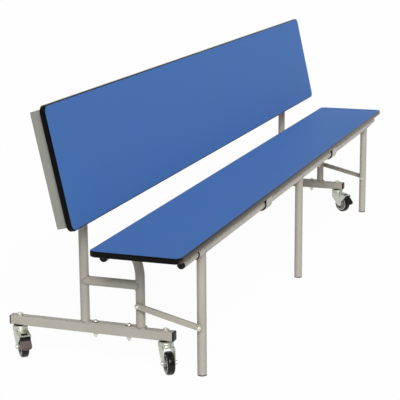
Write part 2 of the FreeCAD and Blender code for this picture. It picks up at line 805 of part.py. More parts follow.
def end_frames():
    for side, hand in SIDES:
        x = "%d * frame_reach" % side
        base_rail(hand, x)
        upright(side, hand, x)
        post(side, hand, x)
    rail_end_caps()
    cross_bars()
    foot_plates()
    hinge_sleeves()
    frame_bolts()
    upright_plugs()
    at = ("-frame_reach", "upright_behind", "tie_tube_height")
    sub_part("tie_tube", tube("tie_tube", "tie_tube_od", "tube_wall", "2 * frame_reach", at, "x",
                              upright_solid("tie_tube_left", -1), upright_solid("tie_tube_right", 1)))


def upright_solid(name, side):
    return cylinder(name, "tube_od / 2", "upright_top - plate_top",
                    ("%d * frame_reach" % side, "upright_behind", "plate_top"))


def base_rail(hand, x):
    label = "base_rail_" + hand
    body = new_body(label)
    size = "base_rail_size"
    ends = new_sketch(body, "xz", "ends")
    rectangle(ends, size, size, "0", "base_rail_size / 2")
    bar = pad(body, "bar", ends, "base_rail_length", reverse=True)
    round_edges(body, "corners", bar, runs_along("y"), "base_rail_corner")
    hollow = new_sketch(body, "xz", "hollow")
    inner = "base_rail_size - 2 * base_rail_wall"
    rectangle(hollow, inner, inner, "0", "base_rail_size / 2")
    opened = pocket(body, "hollow_cut", hollow, "base_rail_length")
    half = value("base_rail_size / 2 - base_rail_wall")

    def inside(edge):
        return runs_along("y")(edge) and abs(abs(edge.BoundBox.Center.x) - half) < 1e-4
    round_edges(body, "bore_corners", opened, inside, "base_rail_corner - base_rail_wall")
    holes = new_sketch(body, "xy", "holes")
    for spot in ("caster_front", "caster_rear"):
        circle(holes, "stem_dia / 2", "0", "base_rail_ahead + " + spot)
    for spot in BOLT_SPOTS:
        circle(holes, "frame_bolt_dia / 2", "0", "base_rail_ahead + " + spot)
    pocket(body, "hole_cut", holes, "base_rail_size", reverse=True)
    sub_part(label, place(body, (x, "-base_rail_ahead", "base_rail_bottom")))


BOLT_SPOTS = ("front_bolt_inset - post_ahead", "upright_behind - rear_bolt_inset")


def rail_end_caps():
    """Moulded caps with a plug, one in each base rail end."""
    caps = []
    for side, hand in SIDES:
        for end, y, angle in (("front", "-base_rail_ahead", "180"), ("rear", "base_rail_behind", "0")):
            body = new_body("end_cap_%s_%s" % (end, hand))
            face = new_sketch(body, "xz", "face")
            rectangle(face, "base_rail_size", "base_rail_size")
            flange = pad(body, "flange", face, "end_cap_flange", reverse=True)
            sides = round_edges(body, "sides", flange, runs_along("y"), "base_rail_corner")
            round_edges(body, "front", sides, lies_at("y", "end_cap_flange"), "end_cap_flange * 0.5")
            inner = new_sketch(body, "xz", "inner")
            width = "base_rail_size - 2 * base_rail_wall - 2 * close_gap"
            rectangle(inner, width, width)
            pad(body, "plug", inner, "end_cap_plug")
            at = ("%d * frame_reach" % side, y, "base_rail_bottom + base_rail_size / 2")
            caps.append(place(body, at, Z_AXIS, angle))
    sub_part("rail_end_caps", group("rail_end_caps", caps))


def upright(side, hand, x):
    label = "upright_" + hand
    pivot = across(label + "_pivot", "pivot_bolt_dia / 2 + running_fit", side, "frame_reach - tube_od",
                   "frame_reach + tube_od", "upright_behind", "pivot_height")
    sub_part(label, tube(label, "tube_od", "tube_wall", "upright_top - plate_top",
                         (x, "upright_behind", "plate_top"), "z", pivot))


def post(side, hand, x):
    """Front post with its bend back to the hinge sleeve."""
    label = "post_" + hand
    body = new_body(label + "_bent")
    ring = new_sketch(body, "xy", "ring")
    circle(ring, "tube_od / 2")
    circle(ring, "tube_od / 2 - tube_wall")
    path = new_sketch(body, "yz", "path")
    rise, bend = value("post_bend_start - plate_top"), value("post_radius")
    turn = value("180 - post_bend_angle") * 0.017453292519943295
    path.addGeometry(Part.LineSegment(Vector(0, 0, 0), Vector(0, rise, 0)), False)
    arc = Part.ArcOfCircle(Part.Circle(Vector(bend, rise, 0), Z_AXIS, bend), turn, 3.141592653589793)
    path.addGeometry(arc, False)
    hold(path, 0, 1, "0", "0")
    hold(path, 0, 2, "0", "post_bend_start - plate_top")
    path.addConstraint(Sketcher.Constraint("Coincident", 0, 2, 1, 2))
    hold(path, 1, 3, "post_radius", "post_bend_start - plate_top")
    number = path.addConstraint(Sketcher.Constraint("DistanceX", -1, 1, 1, 1, value("post_shift")))
    bind(path, "Constraints[%d]" % number, "post_shift")
    pipe = body.newObject("PartDesign::AdditivePipe", body.Name + "_pipe")
    pipe.Profile = ring
    pipe.Spine = (path, ["Edge1", "Edge2"])
    doc.recompute()
    place(body, (x, "-post_ahead", "plate_top"))
    sleeve = across(label + "_sleeve", "hinge_sleeve_od / 2", side, "frame_reach - tube_od",
                    "frame_reach + tube_od", "-rear_rail_ahead", "rail_height")
    hole = across(label + "_hole", "brace_bolt_dia / 2", side, "frame_reach - tube_od",
                  "frame_reach + tube_od", "-post_ahead", "brace_post_height")
    sub_part(label, cut(label, body, sleeve, hole))


def cross_bars():
    """Horizontal tubes between each post and its upright."""
    bars = []
    for side, hand in SIDES:
        tag = "cross_bar_" + hand
        front = cylinder(tag + "_front", "tube_od / 2", "post_bend_start - plate_top",
                         ("%d * frame_reach" % side, "-post_ahead", "plate_top"))
        bars.append(tube(tag, "crossbar_od", "tube_wall", "post_ahead + upright_behind",
                         ("%d * frame_reach" % side, "-post_ahead", "crossbar_height"), "y",
                         front, upright_solid(tag + "_rear", side)))
    sub_part("cross_bars", group("cross_bars", bars))


def foot_plates():
    """Plates under the post and the upright, bolted to the base rail."""
    plates = []
    for side, hand in SIDES:
        body = new_body("foot_plate_" + hand)
        plan = new_sketch(body, "xy", "plan")
        rectangle(plan, "foot_plate_width", "post_ahead + upright_behind + 2 * foot_plate_overhang",
                  "0", "(upright_behind - post_ahead) / 2")
        slab = pad(body, "slab", plan, "foot_plate_thick")
        round_edges(body, "corners", slab, runs_along("z"), "foot_plate_width / 6")
        holes = new_sketch(body, "xy", "holes")
        for spot in BOLT_SPOTS:
            circle(holes, "frame_bolt_dia / 2", "0", spot)
        pocket(body, "hole_cut", holes, "foot_plate_thick", reverse=True)
        plates.append(place(body, ("%d * frame_reach" % side, "0", "base_rail_top")))
    sub_part("foot_plates", group("foot_plates", plates))


def hinge_sleeves():
    """Sleeves on the posts and the plastic bushes the rear rail turns in."""
    sleeves, bushes = [], []
    for side, hand in SIDES:
        at = ("%d * frame_reach - hinge_length / 2" % side, "-rear_rail_ahead", "rail_height")
        wall = "(hinge_sleeve_od - hinge_bush_od) / 2"
        sleeves.append(tube("hinge_sleeve_" + hand, "hinge_sleeve_od", wall, "hinge_length", at, "x"))
        wall = "hinge_bush_od / 2 - seat_rail_od / 2 - running_fit"
        bushes.append(tube("hinge_bush_" + hand, "hinge_bush_od", wall, "hinge_length", at, "x"))
    sub_part("hinge_sleeves", group("hinge_sleeves", sleeves))
    sub_part("hinge_bushes", group("hinge_bushes", bushes))


def frame_bolts():
    """Bolts down through the foot plates and base rails, with washers and nuts."""
    bolts = []
    for side, hand in SIDES:
        for number, y in enumerate(BOLT_SPOTS):
            tag = "frame_bolt_%s_%d" % (hand, number)
            x = "%d * frame_reach" % side
            washer = cylinder(tag + "_washer", "frame_washer_dia / 2", "washer_thick", (x, y, "plate_top"))
            head = dome(tag + "_head", "frame_head_dia / 2", "frame_head_rise",
                        (x, y, "plate_top + washer_thick"))
            shank = cylinder(tag + "_shank", "frame_bolt_dia / 2",
                             "plate_top - base_rail_bottom + frame_bolt_tip",
                             (x, y, "base_rail_bottom - frame_bolt_tip"))
            nut = hexagon(tag + "_nut", "frame_nut_corners", "frame_nut_thick",
                          (x, y, "base_rail_bottom - frame_nut_thick"))
            bolts.append(fuse(tag, washer, head, shank, nut))
    sub_part("frame_bolts", group("frame_bolts", bolts))


def upright_plugs():
    """Caps that close the tops of the uprights."""
    plugs = []
    for side, hand in SIDES:
        x = "%d * frame_reach" % side
        tag = "upright_plug_" + hand
        lid = cylinder(tag + "_lid", "tube_od / 2", "plug_flange", (x, "upright_behind", "upright_top"))
        stop = cylinder(tag + "_stop", "tube_od / 2 - tube_wall", "plug_reach",
                        (x, "upright_behind", "upright_top - plug_reach"))
        plugs.append(fuse(tag, lid, stop))
    sub_part("upright_plugs", group("upright_plugs", plugs))


# ---------------------------------------------------------------- back

def back_place(thing):
    """Lean a piece drawn upright about the foot of the back."""
    return place(thing, ("0", "-back_foot_ahead", "back_foot_height"), X_AXIS, "-back_lean")


def back():
    middle = ("0", "board_thick * cos(back_lean) + back_height / 2 * sin(back_lean) - back_foot_ahead",
              "back_height / 2 * cos(back_lean) - board_thick * sin(back_lean) + back_foot_height")
    board("back_board", "back_height", middle, "90 - back_lean")
    edging("back_edging", "back_height", middle, "90 - back_lean")
    back_rail("back_bottom_rail", "back_channel_inset")
    back_rail("back_top_rail", "back_height - back_channel_inset - back_channel_width")
    back_end_channels()
    pivot_cheeks()
    pivot_bolts()
    back_screws()
    bumpers = [cylinder("back_bumper_" + hand, "bumper_dia / 2", "bumper_thick",
                        ("%d * frame_reach" % side, "channel_back", "bumper_up"), "y") for side, hand in SIDES]
    sub_part("back_bumpers", back_place(group("back_bumpers", bumpers)))


def back_rail(label, low):
    """Channel along the back, open towards the board."""
    body = new_body(label)
    high, wall = low + " + back_channel_width", "back_channel_wall"
    ends = new_sketch(body, "yz", "ends")
    outline(ends, [("board_thick", low), ("channel_back", low), ("channel_back", high), ("board_thick", high),
                   ("board_thick", high + " - " + wall), ("channel_back - " + wall, high + " - " + wall),
                   ("channel_back - " + wall, low + " + " + wall), ("board_thick", low + " + " + wall)])
    run = "bench_length - 2 * back_channel_inset - 2 * back_channel_width"
    bar = pad(body, "bar", ends, run, symmetric=True)
    rear = value("channel_back")

    def corner(edge):
        return runs_along("x")(edge) and abs(edge.BoundBox.Center.y - rear) < 1e-4
    round_edges(body, "bends", bar, corner, "back_channel_bend")
    holes = new_sketch(body, "xz", "holes")
    for x in SCREW_RUN:
        circle(holes, "board_screw_dia / 2", x, low + " + back_channel_width / 2")
    pocket(body, "hole_cut", holes, "channel_back")
    sub_part(label, back_place(body))


SCREW_RUN = ("-back_screw_pitch * 2", "-back_screw_pitch", "0", "back_screw_pitch", "back_screw_pitch * 2")


def back_end_channels():
    """Upright channels that close both ends of the back."""
    channels = []
    for side, hand in SIDES:
        body = new_body("back_end_" + hand)
        near, wall = "%d * (bench_length / 2 - back_channel_inset - back_channel_width)" % side, "back_channel_wall"
        far = "%d * (bench_length / 2 - back_channel_inset)" % side
        ends = new_sketch(body, "xy", "ends", "back_channel_inset")
        outline(ends, [(near, "board_thick"), (near, "channel_back"), (far, "channel_back"), (far, "board_thick"),
                       (far + " - %d * %s" % (side, wall), "board_thick"),
                       (far + " - %d * %s" % (side, wall), "channel_back - " + wall),
                       (near + " + %d * %s" % (side, wall), "channel_back - " + wall),
                       (near + " + %d * %s" % (side, wall), "board_thick")])
        bar = pad(body, "bar", ends, "back_height - 2 * back_channel_inset")
        rear = value("channel_back")

        def corner(edge):
            return runs_along("z")(edge) and abs(edge.BoundBox.Center.y - rear) < 1e-4
        round_edges(body, "bends", bar, corner, "back_channel_bend")
        channels.append(body)
    sub_part("back_end_channels", back_place(group("back_end_channels", channels)))


def pivot_cheeks():
    """Plates on both sides of each upright, between the long channels."""
    cheeks = []
    low = "back_channel_inset + back_channel_width"
    for side, hand in SIDES:
        for way, place_name in ((-1, "in"), (1, "out")):
            tag = "cheek_%s_%s" % (hand, place_name)
            x = "%d * (frame_reach + %d * (cheek_inner + cheek_thick / 2))" % (side, way)
            plate = block(tag + "_plate", ("cheek_thick", "back_channel_depth", "back_height - 2 * (%s)" % low),
                          (x, "board_thick + back_channel_depth / 2", low))
            hole = across(tag + "_hole", "pivot_bolt_dia / 2", side, "frame_reach - 2 * tube_od",
                          "frame_reach + 2 * tube_od", "pivot_depth", "pivot_up")
            cheeks.append(cut(tag, plate, hole))
    sub_part("pivot_cheeks", back_place(group("pivot_cheeks", cheeks)))


def pivot_bolts():
    """Bolts through the cheeks and the uprights that the back turns on."""
    bolts = []
    for side, hand in SIDES:
        tag = "pivot_bolt_" + hand
        y, z = "pivot_depth", "pivot_up"
        outer, inner = "frame_reach + cheek_inner + cheek_thick", "frame_reach - cheek_inner - cheek_thick"
        shank = across(tag + "_shank", "pivot_bolt_dia / 2", side, inner + " - pivot_nut_thick - brace_stud_tip",
                       outer, y, z)
        head = dome(tag + "_head", "pivot_head_dia / 2", "brace_head_rise", ("%d * (%s)" % (side, outer), y, z),
                    "x" if side > 0 else "-x")
        start = inner + " - pivot_nut_thick" if side > 0 else "-(%s)" % inner
        nut = hexagon(tag + "_nut", "pivot_nut_corners", "pivot_nut_thick", (start, y, z), "x")
        bolts.append(fuse(tag, shank, head, nut))
    sub_part("pivot_bolts", back_place(group("pivot_bolts", bolts)))


def back_screws():
    """Long screws through the channels into the board."""
    screws = []
    for name, low in (("low", "back_channel_inset"), ("top", "back_height - back_channel_inset - back_channel_width")):
        for number, x in enumerate(SCREW_RUN):
            tag = "back_screw_%s_%d" % (name, number)
            z = low + " + back_channel_width / 2"
            shank = cylinder(tag + "_shank", "board_screw_dia / 2", "back_channel_depth + board_screw_bite",
                             (x, "board_thick - board_screw_bite", z), "y")
            head = dome(tag + "_head", "board_screw_head / 2", "board_screw_rise", (x, "channel_back", z), "y")
            screws.append(fuse(tag, shank, head))
    sub_part("back_screws", back_place(group("back_screws", screws)))


# ---------------------------------------------------------------- casters

# side, end of the base rail, heading of the wheel from its stem in degrees, braked
CASTERS = (
    (-1, "front", 216, False),
    (-1, "rear", 220, True),
    (1, "front", 240, True),
    (1, "rear", 225, False),
)


def casters():
    stems, nuts = [], []
    for side, end, heading, braked in CASTERS:
        tag = "%s_%s" % (end, "left" if side < 0 else "right")
        x, y = "%d * frame_reach" % side, "caster_" + end
        turn = "%d" % (heading - 270)
        sub_part("caster_fork_" + tag, place(fork(tag, braked), (x, y, "0"), Z_AXIS, turn))
        axle = ("%s + caster_trail * cos(%d)" % (x, heading), "%s + caster_trail * sin(%d)" % (y, heading),
                "axle_height")
        sub_part("caster_hub_" + tag, place(hub(tag), axle, Z_AXIS, turn))
        sub_part("caster_tyre_" + tag, place(tyre(tag), axle, Z_AXIS, turn))
        if braked:
            sub_part("brake_pedal_" + tag, place(brake_pedal(tag), (x, y, "0"), Z_AXIS, turn))
        stems.append(stem(tag, x, y))
        nut = hexagon("caster_nut_%s_hex" % tag, "stem_nut_corners", "stem_nut_thick", (x, y, "base_rail_top"))
        bore = cylinder("caster_nut_%s_bore" % tag, "stem_dia / 2", "stem_nut_thick", (x, y, "base_rail_top"))
        nuts.append(cut("caster_nut_" + tag, nut, bore))
    sub_part("caster_stems", group("caster_stems", stems))
    sub_part("caster_nuts", group("caster_nuts", nuts))


def stem(tag, x, y):
    """Fixed stem with its bearing race, riveted under the fork."""
    name = "stem_" + tag
    foot_low = "crown_bottom - close_gap - stem_foot_thick"
    bar = cylinder(name + "_bar", "stem_dia / 2", "base_rail_top + stem_nut_thick + stem_tip - (%s)" % foot_low,
                   (x, y, foot_low))
    race = cylinder(name + "_race", "race_dia / 2", "race_thick", (x, y, "base_rail_bottom - race_thick"))
    rivet = cylinder(name + "_rivet", "stem_foot_dia / 2", "stem_foot_thick", (x, y, foot_low))
    return fuse(name, bar, race, rivet)


def fork(tag, braked):
    """Swivel fork, its ringed cup and axle, and a hood if it is braked, drawn with the wheel behind the stem."""
    body = new_body("caster_fork_" + tag)
    arms = new_sketch(body, "yz", "arms")
    tip_low, tip_back = "axle_height - fork_tip_radius", "-caster_trail - fork_tip_radius"
    rear = [("-brake_pin_behind - 7", "crown_top")]
    if braked:
        rear = [("-hood_reach", "hood_lip_height - hood_wing"), ("-hood_reach", "hood_lip_height"),
                ("hood_root", "hood_root_height"), ("hood_root", "crown_top")]
    outline(arms, [("fork_lead", "crown_top"), ("fork_lead", "crown_top - fork_shoulder_drop"),
                   ("fork_tip_radius - caster_trail", tip_low), (tip_back, tip_low),
                   (tip_back, "axle_height + 1.5 * fork_tip_radius")] + rear)
    blank = pad(body, "blank", arms, "fork_width", symmetric=True)
    low = value(tip_low)

    def tip(edge):
        return runs_along("x")(edge) and abs(edge.BoundBox.Center.z - low) < 1e-4
    round_edges(body, "tip", blank, tip, "fork_tip_radius * 0.95")
    heads = new_sketch(body, "yz", "heads")
    circle(heads, "axle_dia * 0.8", "-caster_trail", "axle_height")
    pad(body, "head_bar", heads, "fork_width + axle_dia", symmetric=True)
    gap = new_sketch(body, "yz", "gap")
    outline(gap, [("cup_dia", "0"), ("cup_dia", "crown_bottom"), ("-cup_dia / 2 - 2", "crown_bottom"),
                  ("-cup_dia / 2 - 2", "cup_top"), ("-wheel_dia", "cup_top"), ("-wheel_dia", "0")])
    pocket(body, "gap_cut", gap, "fork_gap", symmetric=True)
    axle = new_sketch(body, "yz", "axle")
    circle(axle, "axle_dia / 2", "-caster_trail", "axle_height")
    pad(body, "axle_bar", axle, "fork_width", symmetric=True)
    if braked:
        hood = new_sketch(body, "yz", "hood")
        outline(hood, [("-hood_reach", "hood_lip_height - hood_thick"), ("-hood_reach", "hood_lip_height"),
                       ("hood_root", "hood_root_height"), ("hood_root", "crown_top")])
        pad(body, "hood_sheet", hood, "fork_width", symmetric=True)
        window = new_sketch(body, "xy", "window")
        rectangle(window, "hood_window_width", "hood_window_length", "0",
                  "hood_lip - hood_reach + hood_window_length / 2")
        pocket(body, "window_cut", window, "hood_root_height", reverse=True)
    cup = new_sketch(body, "yz", "cup")
    outline(cup, [("0", "crown_bottom"), ("cup_dia / 2", "crown_bottom"),
                  ("cup_dia / 2", "cup_waist - cup_groove"), ("cup_dia / 2 - cup_groove", "cup_waist"),
                  ("cup_dia / 2", "cup_waist + cup_groove"), ("cup_dia / 2", "cup_top"), ("0", "cup_top")])
    turned = revolve(body, "cup_turned", cup, "V_Axis")
    waist = round_at("z", "cup_waist + cup_groove", "cup_waist - cup_groove")
    beads = round_edges(body, "cup_beads", turned, waist, "cup_groove * 0.8")
    round_edges(body, "cup_rim", beads, round_at("z", "cup_top"), "cup_height / 4")
    bore = new_sketch(body, "xy", "bore")
    circle(bore, "stem_dia / 2 + running_fit")
    pocket(body, "bore_cut", bore, "cup_top", reverse=True)
    if braked:
        pin = new_sketch(body, "yz", "pin")
        circle(pin, "brake_pin_dia / 2 + running_fit", "-brake_pin_behind", "brake_pin_height")
        pocket(body, "pin_cut", pin, "fork_width", symmetric=True)
    return body


def hub(tag):
    """Wheel core: bored boss, web and rim."""
    body = new_body("caster_hub_" + tag)
    half = new_sketch(body, "xy", "half")
    bore, boss = "axle_dia / 2 + running_fit", "hub_dia / 2"
    ledge, rim = "rim_dia / 2 - rim_thick", "rim_dia / 2"
    right = [("hub_length / 2", bore), ("hub_length / 2", boss), ("web_thick / 2", boss), ("web_thick / 2", ledge),
             ("tyre_width / 2 - 1", ledge), ("tyre_width / 2 - 1", rim)]
    outline(half, right + [("-(%s)" % x, y) for x, y in reversed(right)])
    revolve(body, "turned", half)
    return body


def tyre(tag):
    body = new_body("caster_tyre_" + tag)
    half = new_sketch(body, "xy", "half")
    outline(half, [("tyre_width / 2", "rim_dia / 2"), ("tyre_width / 2", "wheel_dia / 2"),
                   ("-tyre_width / 2", "wheel_dia / 2"), ("-tyre_width / 2", "rim_dia / 2")])
    turned = revolve(body, "turned", half)
    rim = value("rim_dia / 2")

    def outer(edge):
        return edge.Curve.TypeId == "Part::GeomCircle" and edge.Curve.Radius > rim + 0.1
    round_edges(body, "shoulders", turned, outer, "tyre_round")
    return body


def brake_pedal(tag):
    """Housing over the wheel, its hinge pin and the foot pad."""
    body = new_body("brake_pedal_" + tag)
    y, z = "-brake_pin_behind", "brake_pin_height"
    case = new_sketch(body, "yz", "case")
    outline(case, [(y + " + 4.5", z + " - 3"), (y + " + 4.5", z + " + 2"), (y + " - 3", z + " + 2"),
                   (y + " - 12", z + " - 1"), (y + " - 27", z + " - 7"), (y + " - 36", z + " - 15"),
                   (y + " - 35", z + " - 20"), (y + " - 27", z + " - 12"), (y + " - 19", z + " - 6"),
                   (y + " - 11", z + " - 3.2")])
    pad(body, "case_pad", case, "fork_gap - 2 * close_gap", symmetric=True)
    foot_pad = new_sketch(body, "yz", "foot")
    outline(foot_pad, [(y + " - 35", z + " - 11.5"), (y + " - 56", z + " - 36"), (y + " - 52", z + " - 40"),
                       (y + " - 33", z + " - 18.5")])
    pad(body, "foot_pad", foot_pad, "brake_pad_width", symmetric=True)
    pin = new_sketch(body, "yz", "pin")
    circle(pin, "brake_pin_dia / 2", y, z)
    pad(body, "pin_pad", pin, "fork_width + 2 * close_gap", symmetric=True)
    return body


# ---------------------------------------------------------------- build, check and export

seat()
leg_frame()
braces()
end_frames()
back()
casters()
doc.recompute()

for thing in doc.Objects:
    if "Invalid" in thing.State or "Error" in thing.State:
        raise ValueError(thing.Label + " is in a failed state")
for thing in parts:
    if thing.Shape.isNull() or not thing.Shape.isValid() or not thing.Shape.Solids:
        raise ValueError(thing.Label + " has no sound solid")

os.makedirs("parts", exist_ok=True)
for thing in parts:
    thing.Shape.exportStep("parts/%s.step" % thing.Label)
print(len(parts), "sub-parts")
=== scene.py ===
"""Finish and light the convertible folding bench."""

import math

import bmesh
import bpy
from bpy.props import FloatProperty, FloatVectorProperty, IntProperty, PointerProperty
from bpy.types import Operator, Panel, PropertyGroup
from mathutils import Matrix, Vector


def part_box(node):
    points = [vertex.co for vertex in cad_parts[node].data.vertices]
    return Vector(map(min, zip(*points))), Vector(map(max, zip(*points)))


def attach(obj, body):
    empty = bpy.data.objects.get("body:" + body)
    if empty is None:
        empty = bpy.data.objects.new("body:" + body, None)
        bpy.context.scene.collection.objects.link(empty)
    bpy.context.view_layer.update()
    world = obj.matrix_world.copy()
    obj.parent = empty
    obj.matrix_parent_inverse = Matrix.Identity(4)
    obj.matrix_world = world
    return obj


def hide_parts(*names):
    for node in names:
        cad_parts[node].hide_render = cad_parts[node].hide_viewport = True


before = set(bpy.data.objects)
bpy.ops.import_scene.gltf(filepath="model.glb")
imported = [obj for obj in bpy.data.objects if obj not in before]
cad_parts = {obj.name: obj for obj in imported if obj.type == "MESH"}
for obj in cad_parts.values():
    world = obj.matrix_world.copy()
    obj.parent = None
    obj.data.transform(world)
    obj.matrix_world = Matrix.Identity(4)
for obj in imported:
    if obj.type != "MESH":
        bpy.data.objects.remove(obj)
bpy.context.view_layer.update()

bl_info = {
    "name": "Convertible Folding Bench",
    "version": (1, 0, 0),
    "blender": (4, 5, 0),
    "location": "View3D > Sidebar > Bench",
    "description": "Finishes, fittings, floor and light for a mobile convertible folding bench",
    "category": "Object",
}

# Places on the frame, in metres; X runs along the bench, Y from front to rear, Z up
FRAME_X = 1.128
UPRIGHT_Y = 0.078
POST_Y = -0.113
LEG_Y = -0.3165
SLEEVE_AT = (-0.069, 0.405)
PLATE_TOP = 0.1375
BAR_HEIGHT = 0.2725
TIE_HEIGHT = 0.530
LEG_TOP = 0.389
FRAME_BOLTS = (-0.072, 0.0425)
ENDS = ((-1, "left"), (1, "right"))

# Outer radii of the tubes, in metres
TUBE = 0.015
BAR = 0.0145
TIE_TUBE = 0.0127
SLEEVE = 0.017
TORSION_TUBE = 0.016

# Angle that the back leans at rest, and angle of the sleeve's seat on the post, in degrees
BACK_LEAN = 12.5
SLEEVE_SLANT = 45.0

# Each caster: stem in metres, heading of its wheel from the stem in degrees, braked
CASTERS = {
    "front_left": ((-FRAME_X, -0.1965), 216, False),
    "rear_left": ((-FRAME_X, 0.3115), 220, True),
    "front_right": ((FRAME_X, -0.1965), 240, True),
    "rear_right": ((FRAME_X, 0.3115), 225, False),
}
BRAKED = tuple(tag for tag in CASTERS if CASTERS[tag][2])

# Sizes of the casters, in metres: offset of the wheel behind the stem, tyre, core,
# and how far out along the axle the pale rings and the nuts sit
TRAIL = 0.035
TYRE_RADIUS = 0.0375
TYRE_WIDTH = 0.025
TYRE_WALL = 0.0095
CORE_RADIUS = 0.028
CORE_WIDTH = 0.023
RING_SEAT = 0.0114
NUT_SEAT = 0.0200

# Small rings, in metres: outer radius, inner radius, thickness
WHEEL_RING = (0.0288, 0.0262, 0.0012)
PLATE_WASHER = (0.0107, 0.0090, 0.0017)

# Axle nuts, in metres
NUT_RADIUS = 0.0074
NUT_HEIGHT = 0.0044

# Heights in metres: a black band of painted shade round each caster's race, just under the base rail, the
# top of the brown pad on a brake pedal, and one above the whole pedal
RACE_SHADE_BAND = (0.0998, 0.1030)
PAD_TOP = 0.0655
PEDAL_TOP = 0.1

# Middle of the foot pad's upper and lower end, in the caster's own frame, and its side corners
PAD_UPPER = (0.0, -0.068, 0.068)
PAD_LOWER = (0.0, -0.089, 0.0435)
PAD_CORNER_X = 0.0175
PAD_CORNER_Y = -0.0840

# Brake pedals, in metres: rounding of the pad's corners and of the other edges,
# and the length, width and height of a rib
PAD_ROUND = 0.008
PEDAL_ROUND = 0.0016
PAD_RIB = (0.031, 0.0024, 0.0016)

# Directions to the main lamp and to the dim side of the room
TO_KEY = (-0.71, -0.38, 0.59)
ROOM_SIDE = (-0.92, -0.31, 0.24)

# The camera: place in metres, angles in radians, focal length and width of the view in pixels
CAMERA_AT = (-4.7867, -1.6150, 1.4744)
CAMERA_YAW = 1.229
CAMERA_PITCH = 0.231
CAMERA_ROLL = -0.007
FOCAL_PIXELS = 1318.524
VIEW_PIXELS = 400.0
SENSOR = 36.0

# How far apart two vertices may be and still count as one, or as level, in metres
MERGE = 0.00001

FRAME_TUBES = (
    "base_rail_left", "base_rail_right", "upright_left", "upright_right", "post_left", "post_right",
    "cross_bars", "foot_plates", "hinge_sleeves", "tie_tube", "seat_rear_rail", "seat_cross_bars",
    "leg_left", "leg_middle", "leg_right", "back_top_rail", "back_bottom_rail", "pivot_cheeks",
    "brace_left", "brace_right",
)
# Tubes that get a lighter copy of the powder coat: painted light, standing in for the light the floor
# throws up onto them
TUBES_WITH_PAINTED_LIGHT = ("seat_front_rail", "torsion_tube")
BLACK_MOULDINGS = (
    "rail_end_caps", "seat_rail_caps", "leg_feet", "torsion_bushes", "clip_liners", "hinge_bushes",
    "upright_plugs", "back_bumpers",
)
ZINC_FASTENERS = (
    "frame_bolts", "brace_post_bolts", "brace_bolt_left", "brace_bolt_right", "leg_nuts", "pivot_bolts",
    "seat_screws", "back_screws",
)


# ------------------------------------------------------------------ user settings

def colour(name, description, default):
    """A colour that the user may set."""
    return FloatVectorProperty(name=name, description=description, subtype="COLOR", size=3,
                               min=0.0, max=1.0, default=default)


class BenchColours(PropertyGroup):
    """Finishes that a maker would offer, and a few colours that carry painted light or shade."""
    laminate: colour("Laminate", "Decor of the seat and the back", (0.069, 0.176, 0.458))
    backer: colour("Backer", "Balancing sheet on the hidden faces", (0.42, 0.40, 0.36))
    edging: colour("Edging", "Moulded edge round both boards", (0.003, 0.003, 0.003))
    # Painted reflection: a warm light tone on the lower front of the seat's edging, standing in for the
    # bright floor seen in it
    floor_reflection_tone: colour("Painted floor reflection", "Front edge of the seat, lighter towards the bottom as painted reflection of the floor", (0.115, 0.075, 0.045))
    paint: colour("Powder coat", "Tubes, rails and channels", (0.365, 0.343, 0.296))
    # Painted shade: the channels get a darker copy of the powder coat, standing in for the shade on them
    channel: colour("Channel coat with painted shade", "Channels across the ends of the back", (0.235, 0.235, 0.212))
    # Painted light: the same powder coat made lighter, for the front rail and the torsion tube
    rail_painted_light: colour("Rail coat with painted light", "Front rail of the seat and the tube round it", (0.47, 0.445, 0.39))
    strap: colour("Strap", "Clips under the seat", (0.42, 0.40, 0.35))
    zinc: colour("Zinc", "Bolts, nuts and screws", (0.70, 0.68, 0.60))
    fork: colour("Fork plating", "Pressed caster forks", (0.57, 0.59, 0.52))
    nut: colour("Stem nuts", "Nuts on the caster stems", (0.62, 0.61, 0.56))
    moulding: colour("Mouldings", "Caps, feet and bushes", (0.010, 0.010, 0.0105))
    tread: colour("Tread", "Caster tyres", (0.006, 0.006, 0.0055))
    core: colour("Wheel core", "Moulded wheel centres", (0.20, 0.185, 0.165))
    rim: colour("Wheel rim", "Pale ring between core and tyre", (0.60, 0.59, 0.55))
    pedal: colour("Brake pedal", "Foot brakes of two casters", (0.105, 0.083, 0.074))
    floor: colour("Floor", "Plain studio floor", (0.90, 0.90, 0.90))


class BenchSizes(PropertyGroup):
    """Sizes of the small added forms."""
    weld: FloatProperty(name="Weld bead", description="Radius of the weld beads", unit="LENGTH",
                        default=0.0017, min=0.0005, max=0.004)
    tread_round: FloatProperty(name="Tread shoulder", description="Rounding of the tyre shoulders",
                               unit="LENGTH", default=0.0075, min=0.001, max=0.009)
    pedal_ribs: IntProperty(name="Pedal ribs", description="Ribs across each brake pad", default=7,
                            min=3, max=12)


class BenchLight(PropertyGroup):
    """Studio light."""
    key: FloatProperty(name="Key", description="Strength of the main lamp", default=3.3)
    spread: FloatProperty(name="Key spread", description="How wide the main lamp is seen", subtype="ANGLE",
                          default=math.radians(32))
    world: FloatProperty(name="Surround", description="Strength of the surrounding light", default=0.18)
    room: FloatProperty(name="Room", description="How bright a reflection shows the dim side of the room",
                        default=0.08, min=0.0, max=1.0)
    floor_glow: FloatProperty(name="Floor glow", description="Share of its own white that the floor shows",
                              default=0.965, min=0.0, max=1.0)


# ------------------------------------------------------------------ material helpers

def new_group(name, inputs, outputs):
    """An empty shader node group with its sockets."""
    tree = bpy.data.node_groups.new(name, "ShaderNodeTree")
    for label, kind, default in inputs:
        socket = tree.interface.new_socket(name=label, in_out="INPUT", socket_type="NodeSocket" + kind)
        if default is not None:
            socket.default_value = default
    for label, kind in outputs:
        tree.interface.new_socket(name=label, in_out="OUTPUT", socket_type="NodeSocket" + kind)
    return tree, tree.nodes.new("NodeGroupInput"), tree.nodes.new("NodeGroupOutput")


